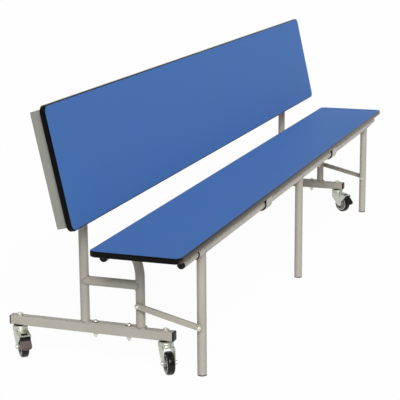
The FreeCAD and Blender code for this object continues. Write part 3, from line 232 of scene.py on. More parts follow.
def node(tree, kind, **settings):
    """A new node; each setting goes to the input of that name, or to the node itself."""
    made = tree.nodes.new("ShaderNode" + kind)
    for key, setting in settings.items():
        if key in made.inputs.keys():
            made.inputs[key].default_value = setting
        else:
            setattr(made, key, setting)
    return made


def remap(tree, value, near, far, start, end):
    """A clamped change of a value: what was near becomes start, and what was far becomes end."""
    made = node(tree, "MapRange", clamp=True)
    for key, setting in zip(("From Min", "From Max", "To Min", "To Max"), (near, far, start, end)):
        made.inputs[key].default_value = setting
    tree.links.new(value, made.inputs["Value"])
    return made.outputs[0]


def combine(tree, operation, first, second):
    """One value worked out from two."""
    made = node(tree, "Math", operation=operation)
    tree.links.new(first, made.inputs[0])
    tree.links.new(second, made.inputs[1])
    return made.outputs[0]


def opaque(tone):
    """A colour with full alpha."""
    return tuple(tone) + (1.0,)


def mix_colours(tree, share, first, second):
    """One colour made of two, each a socket or a plain colour."""
    made = node(tree, "Mix", data_type="RGBA", clamp_factor=True)
    # Of its many sockets, input 0 is the share, inputs 6 and 7 are the colours, and output 2 is their mix
    tree.links.new(share, made.inputs[0])
    for tone, socket in ((first, made.inputs[6]), (second, made.inputs[7])):
        if isinstance(tone, bpy.types.NodeSocket):
            tree.links.new(tone, socket)
        else:
            socket.default_value = opaque(tone)
    return made.outputs[2]


def repaint(material, share_of, second):
    """Lay a second colour over a finish; share_of makes its share from the tree and its coordinates."""
    tree = material.node_tree
    base = tree.nodes["Principled BSDF"].inputs["Base Color"]
    plain = base.links[0].from_socket
    share = share_of(tree, node(tree, "TexCoord"))
    tree.links.new(mix_colours(tree, share, plain, second), base)


def split(tree, vector):
    """The three parts of a vector, by name."""
    made = node(tree, "SeparateXYZ")
    tree.links.new(vector, made.inputs[0])
    return made.outputs


def fine_grain_group():
    """Small all-over unevenness: a mask that tints, a mask that changes gloss, and a height."""
    tree, enter, leave = new_group(
        "Fine grain",
        [("Vector", "Vector", None), ("Scale", "Float", 600.0), ("Broad scale", "Float", 6.0),
         ("Stretch", "Vector", (1.0, 1.0, 1.0))],
        [("Tint", "Float"), ("Gloss", "Float"), ("Height", "Float")])
    link = tree.links.new
    stretch = node(tree, "VectorMath", operation="MULTIPLY")
    link(enter.outputs["Vector"], stretch.inputs[0])
    link(enter.outputs["Stretch"], stretch.inputs[1])
    fine = node(tree, "TexNoise", Detail=3.0, Roughness=0.6)
    broad = node(tree, "TexNoise", Detail=4.0, Roughness=0.55)
    link(stretch.outputs[0], fine.inputs["Vector"])
    link(enter.outputs["Vector"], broad.inputs["Vector"])
    link(enter.outputs["Scale"], fine.inputs["Scale"])
    link(enter.outputs["Broad scale"], broad.inputs["Scale"])
    mixed = node(tree, "Math", operation="MULTIPLY_ADD")
    mixed.inputs[1].default_value = 0.35
    link(fine.outputs["Fac"], mixed.inputs[0])
    link(broad.outputs["Fac"], mixed.inputs[2])
    link(mixed.outputs[0], leave.inputs["Tint"])
    link(broad.outputs["Fac"], leave.inputs["Gloss"])
    link(fine.outputs["Fac"], leave.inputs["Height"])
    return tree


def dust_group():
    """Pale dust that gathers towards the floor."""
    tree, enter, leave = new_group(
        "Floor dust",
        [("Vector", "Vector", None), ("Color", "Color", (0.5, 0.5, 0.5, 1.0)),
         ("Dust", "Color", (0.30, 0.28, 0.25, 1.0)), ("Top", "Float", 0.12), ("Amount", "Float", 0.25)],
        [("Color", "Color")])
    link = tree.links.new
    fall = node(tree, "MapRange", clamp=True)
    for key, setting in zip(("From Min", "To Min", "To Max"), (0.0, 1.0, 0.0)):
        fall.inputs[key].default_value = setting
    link(split(tree, enter.outputs["Vector"])["Z"], fall.inputs["Value"])
    link(enter.outputs["Top"], fall.inputs["From Max"])
    patch = node(tree, "TexNoise", Scale=55.0, Detail=5.0, Roughness=0.6)
    link(enter.outputs["Vector"], patch.inputs["Vector"])
    sharp = remap(tree, patch.outputs["Fac"], 0.42, 0.68, 0.0, 1.0)
    both = combine(tree, "MULTIPLY", fall.outputs[0], sharp)
    share = combine(tree, "MULTIPLY", both, enter.outputs["Amount"])
    link(mix_colours(tree, share, enter.outputs["Color"], enter.outputs["Dust"]), leave.inputs["Color"])
    return tree


def place_group(tree, name, build, **values):
    """A shared node group in a material, built when it is first asked for."""
    holder = tree.nodes.new("ShaderNodeGroup")
    holder.node_tree = bpy.data.node_groups.get(name) or build()
    for key, setting in values.items():
        holder.inputs[key.replace("_", " ")].default_value = setting
    return holder


def finish(name, base, tint=0.06, roughness=(0.4, 0.5), metallic=0.0, coat=0.0, bump=0.05, bump_size=0.0005,
           scale=600.0, broad=6.0, stretch=(1.0, 1.0, 1.0), dust=0.0, dust_top=0.12, specular=0.5):
    """A procedural finish: base colour with fine unevenness, gloss variation, relief and floor dust."""
    material = bpy.data.materials.new(name)
    material.use_nodes = True
    tree = material.node_tree
    link = tree.links.new
    shader = tree.nodes["Principled BSDF"]
    shader.inputs["Metallic"].default_value = metallic
    shader.inputs["Coat Weight"].default_value = coat
    shader.inputs["Coat Roughness"].default_value = 0.12
    shader.inputs["Specular IOR Level"].default_value = specular
    where = node(tree, "TexCoord").outputs["Object"]
    grain = place_group(tree, "Fine grain", fine_grain_group, Scale=scale, Broad_scale=broad,
                        Stretch=stretch)
    link(where, grain.inputs["Vector"])
    low = [max(0.0, channel * (1.0 - tint)) for channel in base]
    high = [min(1.0, channel * (1.0 + tint)) for channel in base]
    tone = mix_colours(tree, remap(tree, grain.outputs["Tint"], 0.45, 0.9, 0.0, 1.0), low, high)
    if dust:
        powder = place_group(tree, "Floor dust", dust_group, Top=dust_top, Amount=dust)
        link(where, powder.inputs["Vector"])
        link(tone, powder.inputs["Color"])
        tone = powder.outputs["Color"]
    link(tone, shader.inputs["Base Color"])
    link(remap(tree, grain.outputs["Gloss"], 0.3, 0.7, *roughness), shader.inputs["Roughness"])
    relief = node(tree, "Bump", Strength=bump, Distance=bump_size)
    link(grain.outputs["Height"], relief.inputs["Height"])
    link(relief.outputs["Normal"], shader.inputs["Normal"])
    return material


def coat_nodes(names, material):
    """Give pieces of the frame a finish."""
    for name in names:
        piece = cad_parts[name]
        if not piece.material_slots:
            piece.data.materials.append(material)
        for slot in piece.material_slots:
            slot.material = material


def laminate_finish(name, front, base, backer):
    """Decor on the face that a board shows, and a plain balancing sheet on the other."""
    material = finish(name, base, tint=0.025, roughness=(0.50, 0.60), bump=0.08, bump_size=0.0003,
                      scale=900.0, broad=2.2, specular=0.03)

    def hidden_side(tree, where):
        facing = node(tree, "VectorMath", operation="DOT_PRODUCT")
        facing.inputs[1].default_value = front
        tree.links.new(where.outputs["Normal"], facing.inputs[0])
        hidden = node(tree, "Math", operation="LESS_THAN")
        hidden.inputs[1].default_value = -0.5
        tree.links.new(facing.outputs["Value"], hidden.inputs[0])
        return hidden.outputs[0]

    repaint(material, hidden_side, backer)
    return material


def paint_floor_reflection(material, top, bottom, reflected_tone):
    """Paint a reflection of the floor on the faces that look to the front: a second colour, more and more
    from one height down to another.
    """
    def lower_front_share(tree, where):
        front = remap(tree, split(tree, where.outputs["Normal"])["Y"], -0.9, -0.6, 1.0, 0.0)
        low = remap(tree, split(tree, where.outputs["Object"])["Z"], bottom, top, 1.0, 0.0)
        return combine(tree, "MULTIPLY", front, low)

    repaint(material, lower_front_share, reflected_tone)


def blacken_between(material, heights, black):
    """Turn a finish black between two heights."""
    def in_band(tree, where):
        band = node(tree, "Math", operation="COMPARE")
        band.inputs[1].default_value = sum(heights) / 2
        band.inputs[2].default_value = (heights[1] - heights[0]) / 2
        tree.links.new(split(tree, where.outputs["Object"])["Z"], band.inputs[0])
        return band.outputs[0]

    repaint(material, in_band, black)


# ------------------------------------------------------------------ modelling helpers

def only(piece):
    """Make one piece the whole selection."""
    bpy.ops.object.select_all(action="DESELECT")
    piece.select_set(True)
    bpy.context.view_layer.objects.active = piece


def settle(piece):
    """Move a piece's place, turn and size into its mesh."""
    only(piece)
    bpy.ops.object.transform_apply(location=True, rotation=True, scale=True)


def pick(piece, kind, test):
    """In edit mode, select the vertices, edges or faces that pass a test."""
    bpy.ops.mesh.select_mode(type=kind)
    bpy.ops.mesh.select_all(action="DESELECT")
    mesh = bmesh.from_edit_mesh(piece.data)
    for item in {"VERT": mesh.verts, "EDGE": mesh.edges, "FACE": mesh.faces}[kind]:
        if test(item):
            item.select_set(True)
    mesh.select_flush_mode()
    bmesh.update_edit_mesh(piece.data)


def add_round(name, radius, depth, sides):
    """A closed round blank on the origin with its axis along X, which the shaping starts from."""
    bpy.ops.object.select_all(action="DESELECT")
    bpy.ops.mesh.primitive_cylinder_add(vertices=sides, radius=radius, depth=depth,
                                        rotation=(0.0, math.pi / 2, 0.0))
    piece = bpy.context.active_object
    piece.name = name
    settle(piece)
    return piece


def smooth(piece, degrees=35.0):
    """Smooth shading, with edges sharper than an angle kept."""
    only(piece)
    bpy.ops.object.shade_smooth_by_angle(angle=math.radians(degrees))


def face_out(piece):
    """Merge doubles and turn all faces outwards."""
    only(piece)
    bpy.ops.object.mode_set(mode="EDIT")
    bpy.ops.mesh.select_all(action="SELECT")
    bpy.ops.mesh.remove_doubles(threshold=MERGE)
    bpy.ops.mesh.normals_make_consistent(inside=False)
    bpy.ops.object.mode_set(mode="OBJECT")


def copy_at(piece, name, place):
    """A copy with its own mesh, settled at a place given as a matrix."""
    twin = piece.copy()
    twin.data = piece.data.copy()
    twin.name = name
    bpy.context.scene.collection.objects.link(twin)
    twin.matrix_world = place
    bpy.context.view_layer.update()
    settle(twin)
    return twin


def remove(piece):
    """Take away a model that has been copied."""
    mesh = piece.data
    bpy.data.objects.remove(piece)
    bpy.data.meshes.remove(mesh)


def dress(piece, material, body):
    """Give a piece its finish, in a slot of its own, and its body."""
    piece.data.materials.clear()
    piece.data.materials.append(material)
    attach(piece, body)


def caster_place(tag):
    """From a caster's own frame, wheel behind the stem along -Y, to the bench's."""
    (x, y), heading = CASTERS[tag][:2]
    return Matrix.Translation((x, y, 0.0)) @ Matrix.Rotation(math.radians(heading - 270), 4, "Z")


def wheel_place(tag):
    """From a wheel's own frame, its axle along X, to the bench's."""
    return caster_place(tag) @ Matrix.Translation((0.0, -TRAIL, TYRE_RADIUS))


def at_end(item, limit):
    """True where every vertex of a face or edge is at least so far out along X."""
    return all(abs(vertex.co.x) > limit for vertex in item.verts)


def is_end_disc(face):
    """True for a face with more corners than any side face has."""
    return len(face.verts) > 8


def middle_of(item):
    """Middle of a face's or edge's vertices."""
    return sum((vertex.co for vertex in item.verts), Vector()) / len(item.verts)


def radius_of(item):
    """Distance of a face's or edge's middle from the X axis."""
    middle = middle_of(item)
    return math.hypot(middle.y, middle.z)


def close_bore(piece):
    """In edit mode, join the two open ends of a ring by its inner wall."""
    pick(piece, "EDGE", lambda edge: edge.is_boundary)
    bpy.ops.mesh.bridge_edge_loops()


def soften(name, width, segments, material, body, corners):
    """A copy of a frame piece with its sharp edges rounded, which stands for it.

    corners is a test for the few edges that get a broad rounding first.
    """
    piece = copy_at(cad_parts[name], name + ".soft", Matrix.Identity(4))
    only(piece)
    bpy.ops.object.mode_set(mode="EDIT")
    bpy.ops.mesh.select_all(action="SELECT")
    bpy.ops.mesh.remove_doubles(threshold=MERGE)
    bpy.ops.mesh.dissolve_limited(angle_limit=math.radians(1.0))
    pick(piece, "EDGE", corners)
    bpy.ops.mesh.bevel(offset=PAD_ROUND, segments=6)
    bpy.ops.object.mode_set(mode="OBJECT")
    rounding = piece.modifiers.new("edges", "BEVEL")
    rounding.width = width
    rounding.segments = segments
    rounding.limit_method = "ANGLE"
    rounding.angle_limit = math.radians(30.0)
    rounding.use_clamp_overlap = True
    bpy.ops.object.modifier_apply(modifier="edges")
    smooth(piece)
    dress(piece, material, body)
    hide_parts(name)


# ------------------------------------------------------------------ stage

def key_lamp(strength, spread):
    """One wide lamp, from the left and the front."""
    data = bpy.data.lights.new("key", "SUN")
    data.energy = strength
    data.angle = spread
    holder = bpy.data.objects.new("key", data)
    bpy.context.scene.collection.objects.link(holder)
    turn = Vector(TO_KEY).to_track_quat("Z", "Y").to_matrix().to_4x4()
    holder.matrix_world = Matrix.Translation(Vector(TO_KEY) * 5.0) @ turn


def blend_shaders(tree, share, first, second):
    """One shader made of two."""
    made = node(tree, "MixShader")
    for socket, source in zip(made.inputs, (share, first, second)):
        tree.links.new(source, socket)
    return made.outputs[0]


def white_to_camera(tree, lit_shader, output, glow):
    """Show a share of plain white where the camera looks, all of it in a reflection, and none as light."""
    link = tree.links.new
    path = node(tree, "LightPath")
    white = node(tree, "Emission", Strength=1.0)
    looked = node(tree, "Math", operation="MULTIPLY")
    looked.inputs[1].default_value = glow
    link(path.outputs["Is Camera Ray"], looked.inputs[0])
    mirrored = combine(tree, "MAXIMUM", path.outputs["Is Glossy Ray"], path.outputs["Is Transmission Ray"])
    share = combine(tree, "MAXIMUM", looked.outputs[0], mirrored)
    link(blend_shaders(tree, share, lit_shader, white.outputs[0]), output)


def add_camera():
    """The view along the bench from its left end."""
    flat = Vector((math.sin(CAMERA_YAW), math.cos(CAMERA_YAW), 0.0))
    ahead = flat * math.cos(CAMERA_PITCH) - Vector((0.0, 0.0, math.sin(CAMERA_PITCH)))
    right = Vector((math.cos(CAMERA_YAW), -math.sin(CAMERA_YAW), 0.0))
    up = right.cross(ahead)
    side = right * math.cos(CAMERA_ROLL) + up * math.sin(CAMERA_ROLL)
    top = up * math.cos(CAMERA_ROLL) - right * math.sin(CAMERA_ROLL)
    data = bpy.data.cameras.new("view")
    data.sensor_width = SENSOR
    data.sensor_fit = "HORIZONTAL"
    data.lens = SENSOR * FOCAL_PIXELS / VIEW_PIXELS
    data.clip_end = 60.0
    holder = bpy.data.objects.new("view", data)
    bpy.context.scene.collection.objects.link(holder)
    turn = Matrix((side, top, -ahead)).transposed().to_4x4()
    holder.matrix_world = Matrix.Translation(CAMERA_AT) @ turn
    bpy.context.scene.camera = holder


def add_surround(strength, room):
    """White all round; in a reflection one side of the room is dimmer."""
    world = bpy.data.worlds.new("studio")
    world.use_nodes = True
    tree = world.node_tree
    link = tree.links.new
    soft = tree.nodes["Background"]
    soft.inputs["Color"].default_value = (1.0, 1.0, 1.0, 1.0)
    soft.inputs["Strength"].default_value = strength
    white = node(tree, "Background", Color=(1.0, 1.0, 1.0, 1.0), Strength=1.0)
    path = node(tree, "LightPath")
    towards = node(tree, "VectorMath", operation="DOT_PRODUCT")
    towards.inputs[1].default_value = ROOM_SIDE
    link(node(tree, "TexCoord").outputs["Generated"], towards.inputs[0])
    shown = remap(tree, towards.outputs["Value"], 0.25, 0.85, 1.0, room)
    shown.node.interpolation_type = "SMOOTHSTEP"
    link(combine(tree, "MAXIMUM", path.outputs["Is Camera Ray"], shown), white.inputs["Strength"])
    seen = combine(tree, "MAXIMUM", path.outputs["Is Camera Ray"], path.outputs["Is Glossy Ray"])
    seen = combine(tree, "MAXIMUM", seen, path.outputs["Is Transmission Ray"])
    link(blend_shaders(tree, seen, soft.outputs[0], white.outputs[0]),
         tree.nodes["World Output"].inputs["Surface"])
    bpy.context.scene.world = world


def add_floor(tone, glow):
    """A plain pale floor just under the wheels."""
    bpy.ops.object.select_all(action="DESELECT")
    bpy.ops.mesh.primitive_plane_add(size=40.0, location=(0.0, 0.0, -0.0006))
    floor = bpy.context.active_object
    floor.name = "floor"
    material = bpy.data.materials.new("studio floor")
    material.use_nodes = True
    tree = material.node_tree
    shader = tree.nodes["Principled BSDF"]
    shader.inputs["Base Color"].default_value = opaque(tone)
    shader.inputs["Roughness"].default_value = 0.9
    shader.inputs["Specular IOR Level"].default_value = 0.1
    white_to_camera(tree, shader.outputs[0], tree.nodes["Material Output"].inputs["Surface"], glow)
    floor.data.materials.append(material)


class BENCH_OT_stage(Operator):
    """Lay the floor and set the lamp, the surround and the camera"""
    bl_idname = "bench.stage"
    bl_label = "Stage"

    def execute(self, context):
        light = context.scene.bench_light
        add_floor(context.scene.bench_colours.floor, light.floor_glow)
        add_surround(light.world, light.room)
        key_lamp(light.key, light.spread)
        add_camera()
        context.scene.view_settings.view_transform = "Standard"
        return {"FINISHED"}


# ------------------------------------------------------------------ finishes on the frame's own pieces

class BENCH_OT_boards(Operator):
    """Face both boards with laminate and finish their moulded edges"""
    bl_idname = "bench.boards"
    bl_label = "Boards"

    def execute(self, context):
        tones = context.scene.bench_colours
        lean = math.radians(BACK_LEAN)
        fronts = {"seat": (0.0, 0.0, 1.0), "back": (0.0, -math.cos(lean), math.sin(lean))}
        for part, front in fronts.items():
            decor = laminate_finish(part + " laminate", front, tones.laminate, tones.backer)
            coat_nodes([part + "_board"], decor)
        for name, shine in (("seat_edging", 0.075), ("back_edging", 0.05)):
            edge = finish("moulded " + name, tones.edging, tint=0.15, roughness=(0.17, 0.27), bump=0.05,
                          bump_size=0.0003, scale=260.0, stretch=(0.15, 1.0, 1.0), specular=shine)
            coat_nodes([name], edge)
        low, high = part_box("seat_edging")
        # Painted reflection: the front of the seat's edging grows lighter and warmer towards its bottom,
        # standing in for the floor reflected in it
        paint_floor_reflection(bpy.data.materials["moulded seat_edging"], high[2] - 0.004, low[2], tones.floor_reflection_tone)
        return {"FINISHED"}


class BENCH_OT_paint(Operator):
    """Powder coat the tubes, rails, channels and braces"""
    bl_idname = "bench.paint"
    bl_label = "Powder coat"

    def execute(self, context):
        tones = context.scene.bench_colours
        powder = dict(tint=0.05, roughness=(0.40, 0.52), bump=0.05, bump_size=0.0004, scale=750.0,
                      broad=9.0, specular=0.35)
        coat_nodes(FRAME_TUBES, finish("grey powder coat", tones.paint, dust=0.14, dust_top=0.16, **powder))
        # Painted light: the front rail and the torsion tube get a lighter copy of the grey powder coat
        coat_nodes(TUBES_WITH_PAINTED_LIGHT, finish("powder coat with painted light", tones.rail_painted_light, **powder))
        # Painted shade: the end channels get the powder coat made darker
        coat_nodes(["back_end_channels"], finish("darker powder coat with painted shade", tones.channel, **powder))
        strap = finish("coated strap", tones.strap, tint=0.05, roughness=(0.36, 0.46), coat=0.1, bump=0.12,
                       bump_size=0.0003, scale=700.0)
        coat_nodes(["seat_clips"], strap)
        return {"FINISHED"}


class BENCH_OT_mouldings(Operator):
    """Finish the black caps, feet, bushes and bumpers"""
    bl_idname = "bench.mouldings"
    bl_label = "Black mouldings"

    def execute(self, context):
        tones = context.scene.bench_colours
        black = finish("black moulding", tones.moulding, tint=0.2, roughness=(0.34, 0.5), bump=0.2,
                       bump_size=0.0003, scale=1100.0, dust=0.04, dust_top=0.10, specular=0.12)
        coat_nodes(BLACK_MOULDINGS, black)
        return {"FINISHED"}


class BENCH_OT_fasteners(Operator):
    """Plate the bolts, nuts, screws and stems"""
    bl_idname = "bench.fasteners"
    bl_label = "Fasteners"

    def execute(self, context):
        tones = context.scene.bench_colours
        plating = dict(metallic=1.0, bump_size=0.0002, scale=500.0, broad=60.0)
        zinc = finish("bright zinc", tones.zinc, tint=0.12, roughness=(0.40, 0.54), bump=0.08, **plating)
        coat_nodes(ZINC_FASTENERS, zinc)
        nut = finish("dull nut", tones.nut, tint=0.15, roughness=(0.3, 0.45), bump=0.1, **plating)
        coat_nodes(["caster_nuts"], nut)
        stem = finish("stem zinc", tones.zinc, tint=0.12, roughness=(0.42, 0.55), bump=0.08, **plating)
        # Painted shade: the stem turns black round its race, just under the base rail, standing in for the
        # shade there
        blacken_between(stem, RACE_SHADE_BAND, tones.moulding)
        coat_nodes(["caster_stems"], stem)
        return {"FINISHED"}


class BENCH_OT_casters(Operator):
    """Finish the forks, wheels and brake pedals"""
    bl_idname = "bench.casters"
    bl_label = "Casters"

    def execute(self, context):
        tones = context.scene.bench_colours
        plated = finish("plated pressing", tones.fork, tint=0.10, roughness=(0.40, 0.54), metallic=1.0,
                        bump=0.10, bump_size=0.0003, scale=420.0, broad=45.0, dust=0.12, dust_top=0.09)
        core = finish("moulded core", tones.core, tint=0.08, roughness=(0.42, 0.55), bump=0.15,
                      bump_size=0.0003, scale=900.0, dust=0.3, dust_top=0.08)
        tread = finish("tread rubber", tones.tread, tint=0.25, roughness=(0.16, 0.26), bump=0.12,
                       bump_size=0.0003, scale=800.0, dust=0.05, dust_top=0.03, specular=0.22)
        finish("pale rim", tones.rim, tint=0.05, roughness=(0.4, 0.5), bump=0.1, bump_size=0.0002,
               scale=900.0, dust=0.2, dust_top=0.05)
        pedal = finish("pedal moulding", tones.pedal, tint=0.35, roughness=(0.45, 0.6), bump=0.2,
                       bump_size=0.0003, scale=900.0, dust=0.1, dust_top=0.09, specular=0.2)
        coat_nodes(["caster_fork_" + tag for tag in CASTERS], plated)
        coat_nodes(["caster_hub_" + tag for tag in CASTERS], core)
        coat_nodes(["caster_tyre_" + tag for tag in CASTERS], tread)
        blacken_between(pedal, (PAD_TOP, PEDAL_TOP), tones.moulding)
        coat_nodes(["brake_pedal_rear_left"], pedal)
        coat_nodes(["brake_pedal_front_right"], bpy.data.materials["black moulding"])
        return {"FINISHED"}


def weld_ring(name, at, out, along, tube, onto, bead):
    """A bead round a tube's end, bent to the round tube that it meets.

    tube is the radius of the one that ends, and onto that of the other, or None for a flat plate.
    """
    bpy.ops.object.select_all(action="DESELECT")
    bpy.ops.mesh.primitive_torus_add(major_segments=56, minor_segments=8, major_radius=tube + bead * 0.25,
                                     minor_radius=bead)
    ring = bpy.context.active_object
    ring.name = name
    for vertex in ring.data.vertices:
        ripple = 1.0 + 0.02 * math.sin(math.atan2(vertex.co.y, vertex.co.x) * 31.0)
        vertex.co.x *= ripple
        vertex.co.y *= ripple
        if onto:
            vertex.co.z -= onto - math.sqrt(max(0.0, onto * onto - vertex.co.y * vertex.co.y))
    out = Vector(out).normalized()
    along = Vector(along).normalized()
    turn = Matrix((along, out.cross(along), out)).transposed().to_4x4()
    ring.matrix_world = Matrix.Translation(at) @ turn
    settle(ring)
    smooth(ring, 60.0)
    return ring


class BENCH_OT_welds(Operator):
    """Run the weld beads where the tubes meet"""
    bl_idname = "bench.welds"
    bl_label = "Welds"

    def execute(self, context):
        bead = context.scene.bench_sizes.weld
        tones = context.scene.bench_colours
        # Painted shade: the beads get the powder coat darkened to 0.7, standing in for the shade in the
        # creases where the tubes meet
        weld_shade_tone = tuple(channel * 0.7 for channel in tones.paint)
        painted = finish("weld with painted shade", weld_shade_tone, tint=0.07, roughness=(0.4, 0.52), coat=0.1, bump=0.35,
                         bump_size=0.0006, scale=520.0, broad=70.0)
        heavy = bead * 1.4
        up, back, right = (0, 0, 1), (0, 1, 0), (1, 0, 0)
        down, ahead = (0, 0, -1), (0, -1, 0)
        lean = math.radians(SLEEVE_SLANT)
        slant = (0.0, -math.sin(lean), -math.cos(lean))
        for side, hand in ENDS:
            x = side * FRAME_X
            sleeve = Vector((x,) + SLEEVE_AT) + Vector(slant) * SLEEVE
            rings = (
                ("upright_foot", (x, UPRIGHT_Y, PLATE_TOP), up, right, TUBE, None, bead),
                ("post_foot", (x, POST_Y, PLATE_TOP), up, right, TUBE, None, bead),
                ("bar_front", (x, POST_Y + TUBE, BAR_HEIGHT), back, up, BAR, TUBE, heavy),
                ("bar_rear", (x, UPRIGHT_Y - TUBE, BAR_HEIGHT), ahead, up, BAR, TUBE, heavy),
                ("sleeve", tuple(sleeve), slant, right, TUBE, SLEEVE, bead),
                ("tie", (x - side * TUBE, UPRIGHT_Y, TIE_HEIGHT), (-side, 0, 0), up, TIE_TUBE, TUBE, bead),
            )
            for label, at, out, along, tube, onto, size in rings:
                ring = weld_ring("weld_%s_%s" % (label, hand), at, out, along, tube, onto, size)
                dress(ring, painted, "frame")
        for x, label in ((-FRAME_X, "left"), (0.0, "middle"), (FRAME_X, "right")):
            top = (x, LEG_Y, LEG_TOP)
            ring = weld_ring("weld_leg_" + label, top, down, right, TUBE, TORSION_TUBE, bead)
            dress(ring, painted, "leg_frame")
        return {"FINISHED"}


def ring_edges(low, high, side):
    """A test for edges that run round the X axis between two radii, further out along it than side."""
    def test(edge):
        first, second = (vertex.co for vertex in edge.verts)
        level = abs(first.x - second.x) < MERGE
        return level and abs(middle_of(edge).x) > side and low < radius_of(edge) < high
    return test


def model_tyre(shoulder):
    """Solid tyre with rounded shoulders and shallow sunk sides, on the X axis."""
    piece = add_round("tyre_model", TYRE_RADIUS, TYRE_WIDTH, 96)
    bpy.ops.object.mode_set(mode="EDIT")
    pick(piece, "FACE", is_end_disc)
    bpy.ops.mesh.inset(thickness=TYRE_WALL, use_individual=True)
    bpy.ops.mesh.delete(type="FACE")
    close_bore(piece)
    side = TYRE_WIDTH / 2 - 0.0005
    pick(piece, "EDGE", ring_edges(TYRE_RADIUS - 0.0005, TYRE_RADIUS + 0.0005, side))
    bpy.ops.mesh.bevel(offset=shoulder, segments=8, profile=0.5)
    pick(piece, "FACE", lambda face: at_end(face, side) and radius_of(face) < CORE_RADIUS + 0.002)
    bpy.ops.mesh.inset(thickness=0.0008, depth=-0.0005)
    bpy.ops.object.mode_set(mode="OBJECT")
    face_out(piece)
    smooth(piece, 40.0)
    return piece


def model_hub():
    """Dished wheel core with its boss and bore, on the X axis."""
    piece = add_round("hub_model", CORE_RADIUS, CORE_WIDTH, 72)
    bpy.ops.object.mode_set(mode="EDIT")
    pick(piece, "FACE", is_end_disc)
    # Rim, wall of the dish, floor of the dish, side of the boss, face of the boss down to the bore
    steps = ((0.0034, 0.0), (0.0012, -0.0058), (0.0112, 0.0006), (0.0014, 0.0108), (0.0067, 0.0))
    for inwards, outwards in steps:
        bpy.ops.mesh.inset(thickness=inwards, depth=outwards, use_individual=True)
    bpy.ops.mesh.delete(type="FACE")
    close_bore(piece)
    pick(piece, "EDGE", ring_edges(CORE_RADIUS - 0.004, CORE_RADIUS + 0.001, CORE_WIDTH / 2 - 0.0005))
    bpy.ops.mesh.bevel(offset=0.0006, segments=2)
    bpy.ops.object.mode_set(mode="OBJECT")
    face_out(piece)
    smooth(piece, 35.0)
    return piece


def model_axle_nut():
    """Capped nut on the X axis, its seat at X = 0."""
    piece = add_round("nut_model", NUT_RADIUS, NUT_HEIGHT, 24)
    bpy.ops.object.mode_set(mode="EDIT")
    bpy.ops.mesh.select_all(action="SELECT")
    bpy.ops.transform.translate(value=(NUT_HEIGHT / 2, 0.0, 0.0))
    pick(piece, "FACE", lambda face: middle_of(face).x > NUT_HEIGHT * 0.9)
    for inwards, outwards in ((0.0007, 0.0004), (0.0018, 0.0012), (0.0018, 0.0007)):
        bpy.ops.mesh.inset(thickness=inwards, depth=outwards)
    bpy.ops.object.mode_set(mode="OBJECT")
    face_out(piece)
    smooth(piece, 25.0)
    return piece


def is_level(edge):
    """True for an edge whose two ends are exactly as far out along X."""
    return edge.verts[0].co.x == edge.verts[1].co.x


def model_washer(outer, inner, thick):
    """Flat ring with eased rims on the X axis, its seat at X = 0."""
    piece = add_round("washer_model", outer, thick, 48)
    bpy.ops.object.mode_set(mode="EDIT")
    bpy.ops.mesh.select_all(action="SELECT")
    bpy.ops.transform.translate(value=(thick / 2, 0.0, 0.0))
    pick(piece, "FACE", is_end_disc)
    bpy.ops.mesh.inset(thickness=outer - inner, use_individual=True)
    bpy.ops.mesh.delete(type="FACE")
    close_bore(piece)
    pick(piece, "EDGE", lambda edge: radius_of(edge) > outer * 0.98 and is_level(edge))
    bpy.ops.mesh.bevel(offset=thick * 0.3, segments=2)
    bpy.ops.object.mode_set(mode="OBJECT")
    face_out(piece)
    smooth(piece, 40.0)
    return piece


class BENCH_OT_wheels(Operator):
    """Model the tyres, the dished wheel cores with their pale rings, and the axle nuts"""
    bl_idname = "bench.wheels"
    bl_label = "Wheels"

    def execute(self, context):
        tyre = model_tyre(context.scene.bench_sizes.tread_round)
        hub = model_hub()
        nut = model_axle_nut()
        ring = model_washer(*WHEEL_RING)
        for tag in CASTERS:
            place = wheel_place(tag)
            piece = copy_at(tyre, "tyre_" + tag, place)
            dress(piece, bpy.data.materials["tread rubber"], "wheel_" + tag)
            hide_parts("caster_tyre_" + tag)
            piece = copy_at(hub, "hub_" + tag, place)
            dress(piece, bpy.data.materials["moulded core"], "wheel_" + tag)
            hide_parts("caster_hub_" + tag)
            for side, turn in (("a", 0.0), ("b", math.pi)):
                outwards = place @ Matrix.Rotation(turn, 4, "Z")
                seat = outwards @ Matrix.Translation((NUT_SEAT, 0.0, 0.0))
                piece = copy_at(nut, "axle_nut_%s_%s" % (tag, side), seat)
                dress(piece, bpy.data.materials["bright zinc"], "caster_" + tag)
                seat = outwards @ Matrix.Translation((RING_SEAT, 0.0, 0.0))
                piece = copy_at(ring, "wheel_ring_%s_%s" % (tag, side), seat)
                dress(piece, bpy.data.materials["pale rim"], "wheel_" + tag)
        for model in (tyre, hub, nut, ring):
            remove(model)
        return {"FINISHED"}


def model_rib(length, width, height):
    """Rounded rib along X with its foot on Z = 0."""
    bpy.ops.object.select_all(action="DESELECT")
    bpy.ops.mesh.primitive_cube_add(size=1.0, location=(0.0, 0.0, height / 2),
                                    scale=(length, width, height))
    piece = bpy.context.active_object
    settle(piece)
    bpy.ops.object.mode_set(mode="EDIT")
    pick(piece, "EDGE", lambda edge: all(vertex.co.z > height * 0.9 for vertex in edge.verts))
    bpy.ops.mesh.bevel(offset=min(width, height) * 0.42, segments=3)
    bpy.ops.object.mode_set(mode="OBJECT")
    smooth(piece, 50.0)
    return piece


def at_pad_corner(back_to_caster):
    """A test for the two edges at the outer corners of a brake's foot pad."""
    def test(edge):
        spots = [back_to_caster @ vertex.co for vertex in edge.verts]
        return all(abs(spot.x) > PAD_CORNER_X and spot.y < PAD_CORNER_Y for spot in spots)
    return test


